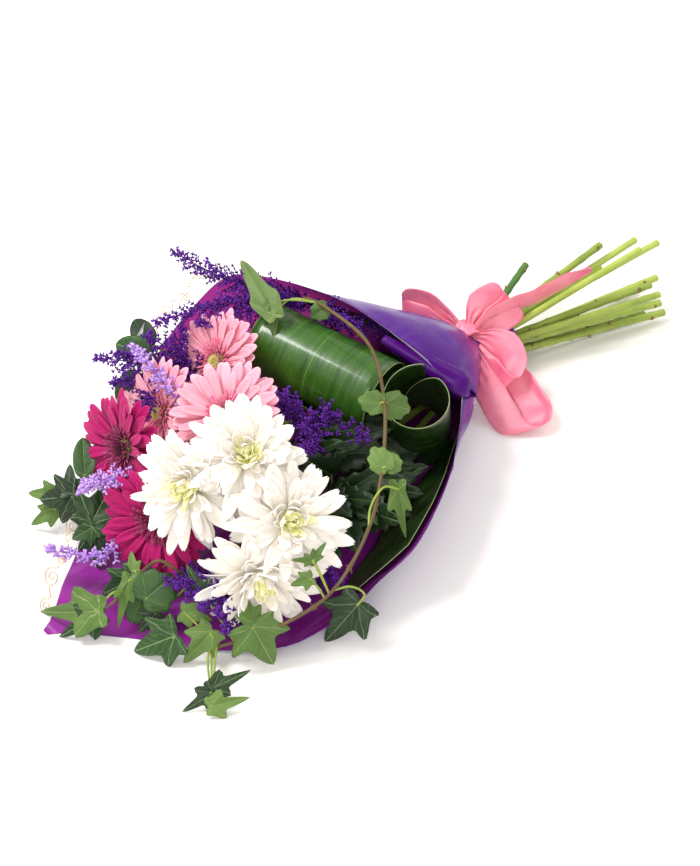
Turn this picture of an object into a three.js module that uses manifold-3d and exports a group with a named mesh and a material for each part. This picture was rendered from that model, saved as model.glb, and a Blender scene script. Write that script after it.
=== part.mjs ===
// A mixed flower bouquet lying on a table: gerberas, spray chrysanthemums, dyed goldenrod and
// ivy, bound above the cut stems, wrapped in a sheet of film and tied with a satin ribbon.
// Millimetres, +Z up. The bundle's cut ends point along +X and the blooms along -X.
import * as THREE from "three";
import { mergeVertices } from "three/addons/utils/BufferGeometryUtils.js";
import Module from "manifold-3d";

const wasm = await Module();
wasm.setup();

// Driving dimensions
const clearance = 0.4; // least gap between two pieces
const layoutOrigin = { x: 28.5, y: -30 }; // of the layout below, under the middle of the part
const tie = { x: 150, y: -7, z: 26 }; // middle of the bundle where it is bound
const stemPitch = 7.6; // of the stems packed in the binding
const bundleRadius = 17.9;
const bindingWall = 1.2;
const bindingWidth = 14;
const filmThickness = 0.8;
const bandRadius = 24.2; // inside of the ribbon's band round the film
const bandWidth = 22;
const ribbonThickness = 0.9;
const ribbonWidth = 38;
const stemRadius = 3.4;
const gerberaDisc = 11.5;
const chrysanthemumEye = 5;
const leafThickness = 0.8;

const random = seededRandom(7);

const material = (colour, roughness, metalness = 0) =>
  new THREE.MeshStandardMaterial({ color: colour, roughness, metalness });
const paint = {
  film: material(0x7a1f8c, 0.25),
  ribbon: material(0xf48aa4, 0.35),
  binding: material(0xcdbb8c, 0.8),
  white: material(0xf6f3e4, 0.6),
  yellowGreen: material(0xb9c23a, 0.7),
  pink: material(0xf2a0b4, 0.55),
  pinkEye: material(0xd8607e, 0.7),
  magenta: material(0xc4086a, 0.5),
  darkEye: material(0x2a0a18, 0.8),
  stem: material(0x9dbb3c, 0.5),
  purple: material(0x4b1c86, 0.6),
  lilac: material(0xa77bd0, 0.6),
  ivy: material(0x3f6a2c, 0.45),
  aspidistra: material(0x1f4a16, 0.3),
  salal: material(0x4a7a30, 0.5),
};

const bouquet = new THREE.Group();
const placed = []; // the finished pieces: { name, solid, box }

function seededRandom(seed) {
  let state = seed;
  return () => {
    state = (state * 16807) % 2147483647;
    return state / 2147483647;
  };
}

const point = (x, y, z) => new THREE.Vector3(x, y, z);
const pointAt = (place) => point(...place);
const radians = THREE.MathUtils.degToRad;
const mix = THREE.MathUtils.lerp;

// Solids

// A closed solid from a geometry, with its faces turned outwards.
function solidOf(geometry) {
  geometry.deleteAttribute("normal");
  geometry.deleteAttribute("uv");
  const merged = mergeVertices(geometry, 1e-3);
  const make = (triVerts) =>
    new wasm.Manifold(
      new wasm.Mesh({ numProp: 3, vertProperties: merged.attributes.position.array, triVerts }),
    );
  const triVerts = new Uint32Array(merged.index.array);
  const solid = make(triVerts);
  return solid.volume() < 0 ? make(triVerts.reverse()) : solid;
}

function indexedSolid(vertices, triangles) {
  const geometry = new THREE.BufferGeometry();
  geometry.setAttribute("position", new THREE.Float32BufferAttribute(vertices, 3));
  geometry.setIndex(triangles);
  return solidOf(geometry);
}

function geometryOf(solid) {
  const mesh = solid.getMesh();
  const geometry = new THREE.BufferGeometry();
  geometry.setAttribute("position", new THREE.BufferAttribute(mesh.vertProperties, mesh.numProp));
  geometry.setIndex(new THREE.BufferAttribute(mesh.triVerts, 1));
  geometry.computeVertexNormals();
  return geometry;
}

// A solid through a row of rings. A ring of one point is an apex.
function loft(rings) {
  const vertices = [];
  const triangles = [];
  const starts = rings.map((ring) => {
    const start = vertices.length / 3;
    ring.forEach((p) => vertices.push(p.x, p.y, p.z));
    return start;
  });
  rings.slice(1).forEach((ring, k) => {
    const [a, b] = [starts[k], starts[k + 1]];
    const [countA, countB] = [rings[k].length, ring.length];
    const count = Math.max(countA, countB);
    for (let i = 0; i < count; i++) {
      const j = (i + 1) % count;
      if (countA === 1) triangles.push(a, b + j, b + i);
      else if (countB === 1) triangles.push(a + i, a + j, b);
      else triangles.push(a + i, a + j, b + j, a + i, b + j, b + i);
    }
  });
  const last = rings.length - 1;
  for (let i = 1; i < rings[0].length - 1; i++) triangles.push(starts[0], starts[0] + i + 1, starts[0] + i);
  for (let i = 1; i < rings[last].length - 1; i++)
    triangles.push(starts[last], starts[last] + i, starts[last] + i + 1);
  return indexedSolid(vertices, triangles);
}

// A thin sheet over a grid of points, half its thickness on each side and split alike on both.
function sheet(rows, thickness) {
  const [rowCount, columnCount] = [rows.length, rows[0].length];
  const at = (i, j) =>
    rows[THREE.MathUtils.clamp(i, 0, rowCount - 1)][THREE.MathUtils.clamp(j, 0, columnCount - 1)];
  const vertices = [];
  for (const side of [thickness / 2, -thickness / 2])
    for (let i = 0; i < rowCount; i++)
      for (let j = 0; j < columnCount; j++) {
        const down = at(i + 1, j).clone().sub(at(i - 1, j));
        const across = at(i, j + 1).clone().sub(at(i, j - 1));
        const p = at(i, j).clone().addScaledVector(down.cross(across).normalize(), side);
        vertices.push(p.x, p.y, p.z);
      }
  const triangles = [];
  const half = rowCount * columnCount;
  const id = (i, j) => i * columnCount + j;
  const wall = (a, b) => triangles.push(a, b, b + half, a, b + half, a + half);
  for (let i = 0; i < rowCount - 1; i++)
    for (let j = 0; j < columnCount - 1; j++) {
      const [a, b, c, d] = [id(i, j), id(i + 1, j), id(i + 1, j + 1), id(i, j + 1)];
      triangles.push(a, b, c, a, c, d, a + half, c + half, b + half, a + half, d + half, c + half);
    }
  for (let i = 0; i < rowCount - 1; i++) {
    wall(id(i + 1, 0), id(i, 0));
    wall(id(i, columnCount - 1), id(i + 1, columnCount - 1));
  }
  for (let j = 0; j < columnCount - 1; j++) {
    wall(id(0, j), id(0, j + 1));
    wall(id(rowCount - 1, j + 1), id(rowCount - 1, j));
  }
  return indexedSolid(vertices, triangles);
}

// A regular outline round the origin.
function outline(radius, sides) {
  const corners = Array.from({ length: sides }, (_, i) => {
    const angle = (2 * Math.PI * i) / sides;
    return new THREE.Vector2(radius * Math.cos(angle), radius * Math.sin(angle));
  });
  return new THREE.Shape(corners);
}

// A route through points, with one straight step from each to the next.
class Route extends THREE.Curve {
  constructor(points) {
    super();
    this.points = points;
  }
  getPointAt(share) {
    const place = share * (this.points.length - 1);
    const k = Math.min(Math.floor(place + 1e-6), this.points.length - 2);
    return this.points[k].clone().lerp(this.points[k + 1], place - k);
  }
  getTangentAt(share) {
    const k = Math.round(share * (this.points.length - 1));
    const ahead = this.points[Math.min(k + 1, this.points.length - 1)];
    return ahead.clone().sub(this.points[Math.max(k - 1, 0)]).normalize();
  }
}

// A stem, twig or petiole: an even round along a route.
function tube(points, radius, sides = 6) {
  const options = { extrudePath: new Route(points), steps: points.length - 1, bevelEnabled: false };
  return solidOf(new THREE.ExtrudeGeometry(outline(radius, sides), options));
}

function curveThrough(points) {
  return new THREE.CatmullRomCurve3(points, false, "centripetal");
}

function smooth(points, steps) {
  return curveThrough(points).getPoints(steps);
}

// A turned solid from [radius, height] pairs, with its axis on Z.
function turned(profile, sides) {
  const points = profile.map(([radius, height]) => new THREE.Vector2(radius, height));
  const geometry = new THREE.LatheGeometry(points, sides);
  geometry.rotateX(Math.PI / 2);
  return solidOf(geometry);
}

// Half outlines of a leaf one long, from its base to its tip: [along, aside].
const ivyHalf = [[-0.13, 0.32], [0.18, 0.36], [0.36, 0.52], [0.58, 0.25]];
const roundHalf = [[0.12, 0.2], [0.45, 0.3], [0.8, 0.2]];
const foldedHalf = [[-0.02, 0.22], [0.25, 0.32], [0.5, 0.25], [0.8, 0.12]];

// A leaf blade: each half is cut from its outline and folded up along the midrib, with both
// faces bent and split alike.
function leaf({ base, tip, half = ivyHalf, broad = 1, roll = 0, fold = 0.25, droop = 0.1 }) {
  const [from, to] = [pointAt(base), pointAt(tip)];
  const length = from.distanceTo(to);
  const edge = half.map(([along, aside]) => [along * length, aside * length * broad]);
  const contour = [[0, 0], ...edge, [length, 0]];
  const last = contour.length - 1;
  const corners = [...contour, ...edge.map(([x, y]) => [x, -y])];
  const opposite = (i) => (i === 0 || i === last ? i : last + i);
  const vertices = [leafThickness / 2, -leafThickness / 2].flatMap((side) =>
    corners.flatMap(([x, y]) => [x, y, side + fold * Math.abs(y) - (droop * x * x) / length]));
  const under = corners.length;
  const triangles = [];
  THREE.ShapeUtils.triangulateShape(contour.map(([x, y]) => new THREE.Vector2(x, y)), []).forEach((face) => {
    const [a, b, c] = face.map((i) => new THREE.Vector2(...contour[i]));
    const turned = b.clone().sub(a).cross(c.clone().sub(a)) > 0 ? face : face.toReversed();
    const mirrored = turned.map(opposite).toReversed();
    [turned, mirrored].forEach(([i, j, k]) => triangles.push(i, j, k, i + under, k + under, j + under));
  });
  const inner = edge.map((_, i) => i + 1);
  const rim = [0, ...inner.map(opposite), last, ...inner.toReversed()];
  rim.forEach((i, k) => {
    const j = rim[(k + 1) % rim.length];
    triangles.push(i + under, j + under, j, i + under, j, i);
  });
  const along = to.clone().sub(from).normalize();
  const upward = point(-0.49, -0.59, 0.64);
  const face = upward.addScaledVector(along, -upward.dot(along)).normalize().applyAxisAngle(along, radians(roll));
  const across = face.clone().cross(along);
  const matrix = new THREE.Matrix4().makeBasis(along, across, face).setPosition(from);
  return indexedSolid(vertices, triangles).transform(matrix.elements);
}

function nearestOn(route, place) {
  const curve = new Route(route);
  const shares = Array.from({ length: 101 }, (_, k) => k / 100);
  const distance = (share) => curve.getPointAt(share).distanceTo(place);
  return curve.getPointAt(shares.reduce((best, share) => (distance(share) < distance(best) ? share : best)));
}

function join(solids) {
  return wasm.Manifold.union(solids);
}

function boxesNear(a, b, gap) {
  return [0, 1, 2].every((k) => a.min[k] - gap < b.max[k] && b.min[k] - gap < a.max[k]);
}

// The gap to the nearest other piece that is placed or planned, up to a limit.
function gapAround(solid, limit, own) {
  const box = solid.boundingBox();
  const near = placed.filter((other) => other.name !== own && boxesNear(box, other.box, limit));
  return near.reduce((gap, other) => Math.min(gap, solid.minGap(other.solid, gap)), limit);
}

function isClear(solid, own) {
  return solid.boundingBox().min[2] > 0.2 && gapAround(solid, clearance, own) >= clearance;
}

// Moves a piece along a direction until it lies against what is placed already.
function settle(solid, way, furthest = 30) {
  let moved = solid;
  let travelled = 0;
  for (let k = 0; k < 60 && travelled < furthest; k++) {
    const step = Math.min(gapAround(moved, 20) - clearance, moved.boundingBox().min[2] - 0.2);
    if (step < 0.03) break;
    moved = moved.translate(way.x * step, way.y * step, way.z * step);
    travelled += step;
  }
  return moved;
}

function firstClear(makers, own) {
  for (const make of makers) {
    const solid = make();
    if (isClear(solid, own)) return solid;
  }
  return null;
}

// Keeps room for a piece that is finished later.
function reserve(name, solid) {
  placed.push({ name, solid, box: solid.boundingBox() });
}

function place(name, solid, look) {
  const bodies = solid.decompose();
  const body = bodies.sort((a, b) => b.volume() - a.volume())[0];
  const reserved = placed.findIndex((piece) => piece.name === name);
  if (reserved >= 0) placed.splice(reserved, 1);
  const mesh = new THREE.Mesh(geometryOf(body).translate(-layoutOrigin.x, -layoutOrigin.y, 0), look);
  mesh.name = name;
  bouquet.add(mesh);
  placed.push({ name, solid: body, box: body.boundingBox() });
}

// The film: a sheet rolled round the stems that opens into a cone and lies flat underneath.
// Each section is a flat stretch on the table between two arcs, given by the flat's two ends,
// the reach of the arcs to the front and back, their rise and how far round they go.
const filmSections = [
  { x: 176, flat: [-9, -7], reach: [25, 25], rise: 23, base: 2, turn: [172, 222], layers: 0.06 },
  { x: 163, flat: [-7, -7], reach: [21.5, 21.5], rise: 21.5, base: 4.1, turn: [170, 225], layers: 0.06 },
  { x: 150, flat: [-7, -7], reach: [20.7, 20.7], rise: 20.7, base: 4.9, turn: [170, 228], layers: 0.06 },
  { x: 137, flat: [-8, -8], reach: [21.2, 21.2], rise: 21.2, base: 4.4, turn: [170, 232], layers: 0.06 },
  { x: 112, flat: [-14, -12], reach: [32, 30], rise: 33, base: 1, turn: [164, 240], layers: 0.12 },
  { x: 85, flat: [-22, -18], reach: [47, 45], rise: 43, base: 0, turn: [150, 246], layers: 0.16 },
  { x: 60, flat: [-28, -16], reach: [62, 60], rise: 50, base: 0, turn: [124, 238], layers: 0.16 },
  { x: 35, flat: [-34, -10], reach: [72, 70], rise: 57, base: 0, turn: [106, 218], layers: 0.12 },
  { x: 12, flat: [-40, -2], reach: [84, 78], rise: 63, base: 0, turn: [94, 190], layers: 0.08 },
  { x: -12, flat: [-50, 6], reach: [94, 90], rise: 72, base: 0, turn: [84, 142], layers: 0.04 },
  { x: -47, flat: [-65, 14], reach: [108, 104], rise: 95, base: 0, turn: [70, 110], layers: 0 },
  { x: -87, flat: [-92, 4], reach: [105, 105], rise: 100, base: 0, turn: [60, 98], layers: 0 },
  { x: -125, flat: [-106, -2], reach: [100, 100], rise: 100, base: 0, turn: [52, 90], layers: 0 },
  { x: -165, flat: [-127, -8], reach: [90, 90], rise: 100, base: 0, turn: [40, 75], layers: 0 },
  { x: -208, flat: [-138, -4], reach: [75, 75], rise: 100, base: 0, turn: [26, 54], layers: 0 },
  { x: -250, flat: [-118, 6], reach: [55, 50], rise: 90, base: 0, turn: [14, 36], layers: 0 },
  { x: -292, flat: [-76, 2], reach: [30, 30], rise: 60, base: 0, turn: [6, 14], layers: 0 },
  { x: -337, flat: [-37, -27], reach: [4, 4], rise: 10, base: 0, turn: [4, 4], layers: 0 },
];
const filmSteps = { front: 6, flat: 1, back: 9 };

function filmRow({ x, flat, reach, rise, base, turn, layers }) {
  const row = [];
  const arcPoint = (angle, side) => {
    const grown = 1 + (layers * Math.max(angle, 0)) / turn[1];
    const bend = radians(angle);
    const y = flat[side] + reach[side] * grown * Math.sin(bend);
    return point(x, y, base + filmThickness / 2 + rise * (1 - grown * Math.cos(bend)));
  };
  for (let k = filmSteps.front; k > 0; k--) row.push(arcPoint((-turn[0] * k) / filmSteps.front, 0));
  for (let k = 0; k <= filmSteps.flat; k++)
    row.push(point(x, mix(flat[0] - 0.3, flat[1] + 0.3, k / filmSteps.flat), base + filmThickness / 2));
  for (let k = 1; k <= filmSteps.back; k++) row.push(arcPoint((turn[1] * k) / filmSteps.back, 1));
  return row;
}

place("film_wrap", sheet(filmSections.map(filmRow), filmThickness), paint.film);

// The binding and the ribbon's band are rings round the bundle, with their axis along X.
function ringRound({ inner, wall, width, sides }) {
  const profile = [
    [inner, -width / 2],
    [inner + wall, -width / 2],
    [inner + wall, width / 2],
    [inner, width / 2],
    [inner, -width / 2],
  ];
  const ring = turned(profile, sides);
  return ring.rotate([0, 90, 0]).translate([tie.x, tie.y, tie.z]);
}

place("binding", ringRound({ inner: bundleRadius, wall: bindingWall, width: bindingWidth, sides: 16 }), paint.binding);

// Stems run from the flowers through the binding, packed in a hexagon, to their cut ends.
const rowHeight = stemPitch * 0.87;
const slots = {
  topFar: [0.5, 2], topNear: [-0.5, 2],
  highFar: [1.5, 1], highMidFar: [0.5, 1], highMidNear: [-0.5, 1], highNear: [-1.6, 1],
  midFar: [1, 0], middle: [0, 0], midNear: [-1, 0], edgeFar: [2, 0], edgeNear: [-2, 0],
  lowFar: [1.5, -1], lowMidFar: [0.5, -1], lowMidNear: [-0.5, -1], lowNear: [-1.58, -1],
  bottomFar: [0.5, -2], bottomNear: [-0.5, -2],
};

function boundPoint(slot, x, spread = 1) {
  const [across, up] = slots[slot];
  return point(x, tie.y + across * stemPitch * spread, tie.z + up * rowHeight * spread);
}

// A stem bends smoothly from its flower to the binding and runs straight through it to its cut end.
function stemRoute(head, slot, cut, steps = 8) {
  const half = bindingWidth / 2 + 1;
  const bent = smooth([...head.slice(1), boundPoint(slot, tie.x - half)], steps);
  return [head[0], ...bent, boundPoint(slot, tie.x + half), pointAt(cut)];
}

function direction({ turn, tilt }) {
  const level = Math.cos(radians(tilt));
  return point(level * Math.cos(radians(turn)), level * Math.sin(radians(turn)), Math.sin(radians(tilt)));
}

// Behind a bloom, on its own axis.
function behind(bloom, distance) {
  return pointAt(bloom.at).addScaledVector(direction(bloom.facing), -distance);
}

const gerberas = {
  pink_a: { at: [-103, 52, 100], facing: { turn: -155, tilt: 42 }, slot: "highMidFar", cut: [370, 5, 45],
    via: [[-66, 44, 62], [-20, 26, 46.5]], look: "pink" },
  pink_b: { at: [-168, 44, 84], facing: { turn: -165, tilt: 34 }, slot: "midFar", cut: [394, -4, 36],
    via: [[-110, 36, 52], [-40, 20, 34]], look: "pink" },
  pink_c: { at: [-150, -14, 112], facing: { turn: -140, tilt: 52 }, slot: "highMidNear", cut: [343, -24, 60],
    via: [[-112, 2, 68], [-60, 0, 44], [0, -4, 40]], look: "pink" },
  magenta_a: { at: [-219, 22, 88], facing: { turn: -178, tilt: 22 }, slot: "lowFar", cut: [328, 10, 28],
    via: [[-150, 16, 52], [-60, 12, 24]], look: "magenta" },
  magenta_b: { at: [-230, -38, 58], facing: { turn: -150, tilt: 24 }, slot: "bottomFar", cut: [349, -16, 8],
    via: [[-160, -18, 30], [-60, -8, 12]], look: "magenta" },
};

Object.entries(gerberas).forEach(([name, bloom]) => {
  const head = [behind(bloom, 10.5), behind(bloom, 26), ...bloom.via.map(pointAt)];
  place(`gerbera_${name}_stem`, tube(stemRoute(head, bloom.slot, bloom.cut), stemRadius), paint.stem);
});

const chrysanthemums = {
  a: { at: [-176, -87, 128], facing: { turn: -125, tilt: 55 } },
  b: { at: [-213, -60, 98], facing: { turn: -150, tilt: 36 } },
  c: { at: [-173, -135, 92], facing: { turn: -112, tilt: 44 } },
  d: { at: [-205, -137, 54], facing: { turn: -118, tilt: 8 } },
};

const chrysanthemumStems = {
  a: { slot: "middle", cut: [337, -47, 34], via: [[-90, -34, 40], [-20, -18, 26]], blooms: ["a", "b"],
    leaves: [{ base: [-104, -46, 52], tip: [-84, -72, 92], broad: 0.6 }] },
  b: { slot: "lowNear", cut: [341, -64, 9], via: [[-90, -84, 34], [-10, -44, 20]], blooms: ["c", "d"],
    leaves: [
      { base: [-66, -78, 50], tip: [-76, -118, 62], broad: 0.6 },
      { base: [-40, -66, 44], tip: [-66, -98, 70], broad: 0.55 },
    ] },
};

Object.entries(chrysanthemumStems).forEach(([name, { slot, cut, via, blooms, leaves }]) => {
  const [main, side] = blooms.map((bloom) => chrysanthemums[bloom]);
  const ends = [main, side].map((bloom) => [behind(bloom, 13.5), behind(bloom, 30)]);
  const route = stemRoute([...ends[0], ...via.map(pointAt)], slot, cut);
  const foliage = leaves.map((blade) => {
    const root = nearestOn(route, pointAt(blade.base));
    return join([tube([root, pointAt(blade.base).lerp(pointAt(blade.tip), 0.1)], 1.2, 4), leaf(blade)]);
  });
  const parts = [
    tube(route, stemRadius),
    tube([ends[1][0], ...smooth([ends[1][1], pointAt(via[0])], 3)], stemRadius),
  ];
  place(`chrysanthemum_stem_${name}`, join([...parts, ...foliage]), paint.stem);
});

// The ribbon: a band round the film, a knot on top and loops and a tail that start in the knot.
// A strip's width lies along its across direction and narrows where it is gathered.
function ribbonStrip({ through, across, gathered, steps }) {
  const curve = curveThrough(through.map(pointAt));
  const side = pointAt(across).normalize();
  const rows = Array.from({ length: steps + 1 }, (_, k) => {
    const share = k / steps;
    const middle = curve.getPointAt(share);
    const open = gathered.reduce((least, end) => Math.min(least, 0.2 + 3.4 * Math.abs(share - end)), 1);
    const half = (ribbonWidth / 2) * open;
    return [-1, 1].map((offset) => middle.clone().addScaledVector(side, offset * half));
  });
  return sheet(rows, ribbonThickness);
}

function ellipsoid(centre, radii, sides = 8) {
  const ball = new THREE.SphereGeometry(1, sides, Math.round(sides * 0.6));
  ball.scale(...radii).translate(...centre);
  return solidOf(ball);
}

const knot = [144, -8, 55];
const ribbonStrips = [
  { through: [[140, -4, 58], [134, 10, 69], [118, 32, 80], [106, 50, 75], [112, 46, 65], [131, 18, 62], [139, -3, 55]],
    across: [0.75, 0.3, 0.65], gathered: [0, 1], steps: 9 },
  { through: [[146, -8, 60], [160, -8, 74], [180, -6, 88], [198, -2, 86], [196, 2, 74], [172, 0, 64], [148, -6, 57]],
    across: [-0.3, 1, 0.3], gathered: [0, 1], steps: 9 },
  { through: [[148, -12, 57], [158, -34, 62], [158, -60, 48], [153, -70, 32], [150, -64, 26], [154, -44, 44], [148, -12, 54]],
    across: [1, 0.1, 0.2], gathered: [0, 1], steps: 9 },
  { through: [[142, -13, 57], [142, -36, 58], [137, -60, 48], [130, -84, 30], [123, -103, 14], [121, -108, 5.5], [123, -99, 8],
      [130, -72, 24], [140, -46, 45], [142, -13, 54]],
    across: [1, 0, 0.1], gathered: [0, 1], steps: 12 },
  { through: [[148, -5, 56], [176, 2, 62], [206, 4, 68], [240, 2, 72], [268, -2, 68]],
    across: [0.1, 1, 0.2], gathered: [0, 1.15], steps: 7 },
];
const band = ringRound({ inner: bandRadius, wall: ribbonThickness, width: bandWidth, sides: 16 });
place(
  "ribbon_bow",
  join([band, ellipsoid(knot, [10, 9, 5.6]), ...ribbonStrips.map(ribbonStrip)]),
  paint.ribbon,
);

// Petals

// One petal along +X in its own frame: it leaves the hub at an angle and bends on its way out.
function petal({ from, height, length, width, lift, curl, keel = 1.1, outlineOf }) {
  let [x, z, before] = [from, height, 0];
  const rings = outlineOf.map(([share, breadth]) => {
    const angle = radians(lift + (curl * (share + before)) / 2);
    x += (share - before) * length * Math.cos(angle);
    z += (share - before) * length * Math.sin(angle);
    before = share;
    if (breadth === 0) return [point(x, 0, z)];
    const half = (breadth * width) / 2;
    return [point(x, -half, z), point(x, half, z), point(x, 0, z - keel)];
  });
  return loft(rings);
}

// A petal that meets a neighbour is bent up or down, and at last shortened, until it is clear.
const petalTries = [
  [0, 1], [8, 1], [-8, 1], [16, 1], [-16, 1], [26, 0.95], [0, 0.8], [14, 0.8], [-14, 0.8],
  [34, 0.85], [-26, 0.85], [0, 0.62], [20, 0.62], [-20, 0.62], [42, 0.62], [10, 0.46], [-12, 0.46],
];

function bloomMatrix({ at, facing }, spin = 0) {
  const turn = new THREE.Quaternion().setFromUnitVectors(point(0, 0, 1), direction(facing));
  const own = new THREE.Quaternion().setFromAxisAngle(point(0, 0, 1), spin);
  return new THREE.Matrix4().compose(pointAt(at), turn.multiply(own), point(1, 1, 1));
}

function petalsRound(name, matrix, hub, rows) {
  const petals = [hub.transform(matrix.elements)];
  rows.forEach((row, rowIndex) => {
    for (let k = 0; k < row.count; k++) {
      const angle = (2 * Math.PI * (k + 0.5 * rowIndex)) / row.count + 0.12 * (random() - 0.5);
      const vary = 1 + 0.12 * (random() - 0.5);
      const own = new THREE.Matrix4().multiplyMatrices(matrix, new THREE.Matrix4().makeRotationZ(angle));
      const makers = petalTries.map(([lift, share]) => () => {
        const shape = { ...row, lift: row.lift + lift, length: row.length * share * vary };
        return petal(shape).transform(own.elements);
      });
      const found = firstClear(makers, name);
      if (found) petals.push(found);
    }
  });
  return join(petals);
}

// A domed eye whose surface rises in rows of small florets.
function eye({ radius, height, base, sides, relief }) {
  const levels = [1, 0.72, 0.36];
  const rings = levels.map((share, level) =>
    Array.from({ length: sides }, (_, i) => {
      const angle = (2 * Math.PI * (i + 0.5 * (level % 2))) / sides;
      const raised = level > 0 && i % 2 ? relief : 0;
      const r = radius * share;
      const z = base + height * Math.sqrt(1 - 0.95 * share * share) + raised;
      return point(r * Math.cos(angle), r * Math.sin(angle), z);
    }),
  );
  const foot = rings[0].map((p) => point(p.x * 0.9, p.y * 0.9, base));
  return loft([foot, ...rings, [point(0, 0, base + height)]]);
}

const gerberaOutline = [[0, 0.2], [0.55, 0.95], [0.88, 0.8], [1, 0]];
const gerberaInner = [[0, 0.25], [0.7, 1], [1, 0]];
const gerberaRows = [
  { count: 12, from: 11, height: -2.2, length: 35, width: 13, lift: 12, curl: -16, outlineOf: gerberaOutline },
  { count: 6, from: 11, height: 0, length: 25, width: 11, lift: 28, curl: -14, outlineOf: gerberaInner },
];
const gerberaHub = turned([[0, -10], [4.5, -10], [14, -2], [14, 0.6], [12, 1.4], [0, 1.4]], 10);

const broadPetal = [[0, 0.22], [0.5, 1], [0.82, 0.85], [1, 0]];
const innerPetal = [[0, 0.25], [0.6, 1], [1, 0]];
const chrysanthemumRows = [
  { count: 9, from: 11, height: -5, length: 34, width: 15, lift: 0, curl: 14, outlineOf: broadPetal },
  { count: 7, from: 10.5, height: -2, length: 31, width: 15, lift: 18, curl: 14, outlineOf: broadPetal },
  { count: 6, from: 9.5, height: 1, length: 25, width: 13, lift: 36, curl: 14, outlineOf: innerPetal },
  { count: 4, from: 8, height: 3, length: 19, width: 10, lift: 56, curl: 10, outlineOf: innerPetal },
  { count: 3, from: 6.6, height: 4, length: 13, width: 7, lift: 74, curl: 8, outlineOf: innerPetal },
];
const chrysanthemumHub = turned([[0, -13], [5, -13], [14, -4], [13.5, 2], [7, 6], [0, 6]], 10);

const blooms = [
  ...Object.entries(gerberas).map(([name, bloom]) => {
    const disc = eye({ radius: gerberaDisc, height: 4, base: 1.8, sides: 8, relief: 1 });
    const looks = bloom.look === "pink" ? [paint.pink, paint.pinkEye] : [paint.magenta, paint.darkEye];
    return { name: `gerbera_${name}`, bloom, hub: gerberaHub, rows: gerberaRows, centre: disc, looks };
  }),
  ...Object.entries(chrysanthemums).map(([name, bloom]) => {
    const disc = eye({ radius: chrysanthemumEye, height: 3, base: 6.4, sides: 6, relief: 0.5 });
    const looks = [paint.white, paint.yellowGreen];
    return {
      name: `chrysanthemum_${name}`, bloom, hub: chrysanthemumHub, rows: chrysanthemumRows, centre: disc, looks,
    };
  }),
].map((entry, k) => ({ ...entry, matrix: bloomMatrix(entry.bloom, 0.25 * k) }));

blooms.forEach(({ name, hub, matrix }) => reserve(`${name}_petals`, hub.transform(matrix.elements)));
blooms.forEach(({ name, centre, matrix, looks }) => {
  place(`${name}_eye`, centre.transform(matrix.elements), looks[1]);
});

// Aspidistra leaves: a petiole from the binding that widens into a blade rolled on itself.
// The roll turns round an axis, and its blade winds inwards.
function aspidistra({ slot, cut, petiole, centre, axis, start, turn, radius, tighten, width, spread }) {
  const along = pointAt(axis).normalize();
  const out = pointAt(start).addScaledVector(along, -pointAt(start).dot(along)).normalize();
  const third = along.clone().cross(out);
  const middle = pointAt(centre);
  const rollAt = (angle) => {
    const r = radius - (tighten * angle) / 360;
    return middle
      .clone()
      .addScaledVector(out, r * Math.cos(radians(angle)))
      .addScaledVector(third, r * Math.sin(radians(angle)));
  };
  const rollSteps = Math.round(Math.abs(turn) / 36);
  const roll = Array.from({ length: rollSteps + 1 }, (_, k) => rollAt((turn * k) / rollSteps));
  const lead = spread.map(pointAt);
  const middles = [...lead, ...roll];
  const rows = middles.map((place, k) => {
    const share = Math.min((k + 0.35) / (lead.length + 0.5), 1);
    const tip = Math.min(1, (middles.length - 1 - k + 0.6) / 2.5);
    const half = (width / 2) * share * tip;
    return [-1, 0, 1].map((offset) => place.clone().addScaledVector(along, offset * half));
  });
  const route = [...smooth([lead[0], ...petiole.map(pointAt), boundPoint(slot, tie.x - 8)], 5),
    boundPoint(slot, tie.x + 8), pointAt(cut)];
  return join([tube(route, 3.2), sheet(rows, leafThickness)]);
}

const aspidistras = {
  upper: { slot: "topNear", cut: [205, -10, 50], petiole: [[96, -10, 52]],
    spread: [[64, -8, 57], [36, -4, 59], [4, 0, 60]], centre: [-36, 2, 92], axis: [33, -107, -12],
    start: [0.1, 0, -1], turn: -430, radius: 31, tighten: 5, width: 116 },
  lower: { slot: "highNear", cut: [315, -71, 44], petiole: [[100, -30, 40]],
    spread: [[80, -38, 46], [56, -48, 52], [38, -56, 58]], centre: [10, -80, 62], axis: [-0.35, -0.3, 0.9],
    start: [1, 0.9, 0], turn: 400, radius: 23, tighten: 5, width: 84 },
};
Object.entries(aspidistras).forEach(([name, leaf]) => {
  place(`aspidistra_${name}`, aspidistra(leaf), paint.aspidistra);
});

// Sprays: a green stem from the binding, then dyed branches that carry rows of small florets.

function plumeRoute(through) {
  const [start, ...rest] = through.map(pointAt);
  return [start, ...smooth(rest, 4)];
}

function plumeAxis(through, radius = 1.2) {
  return tube(plumeRoute(through), radius, 4);
}

// A ring of points round a place on a route.
function ringAround({ middle, way }, radius, sides, spin) {
  const side = point(0.3, 0.5, 0.8).cross(way).normalize();
  const third = way.clone().cross(side);
  return Array.from({ length: sides }, (_, i) => {
    const angle = spin + (2 * Math.PI * i) / sides;
    return middle
      .clone()
      .addScaledVector(side, radius * Math.cos(angle))
      .addScaledVector(third, radius * Math.sin(angle));
  });
}

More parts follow.
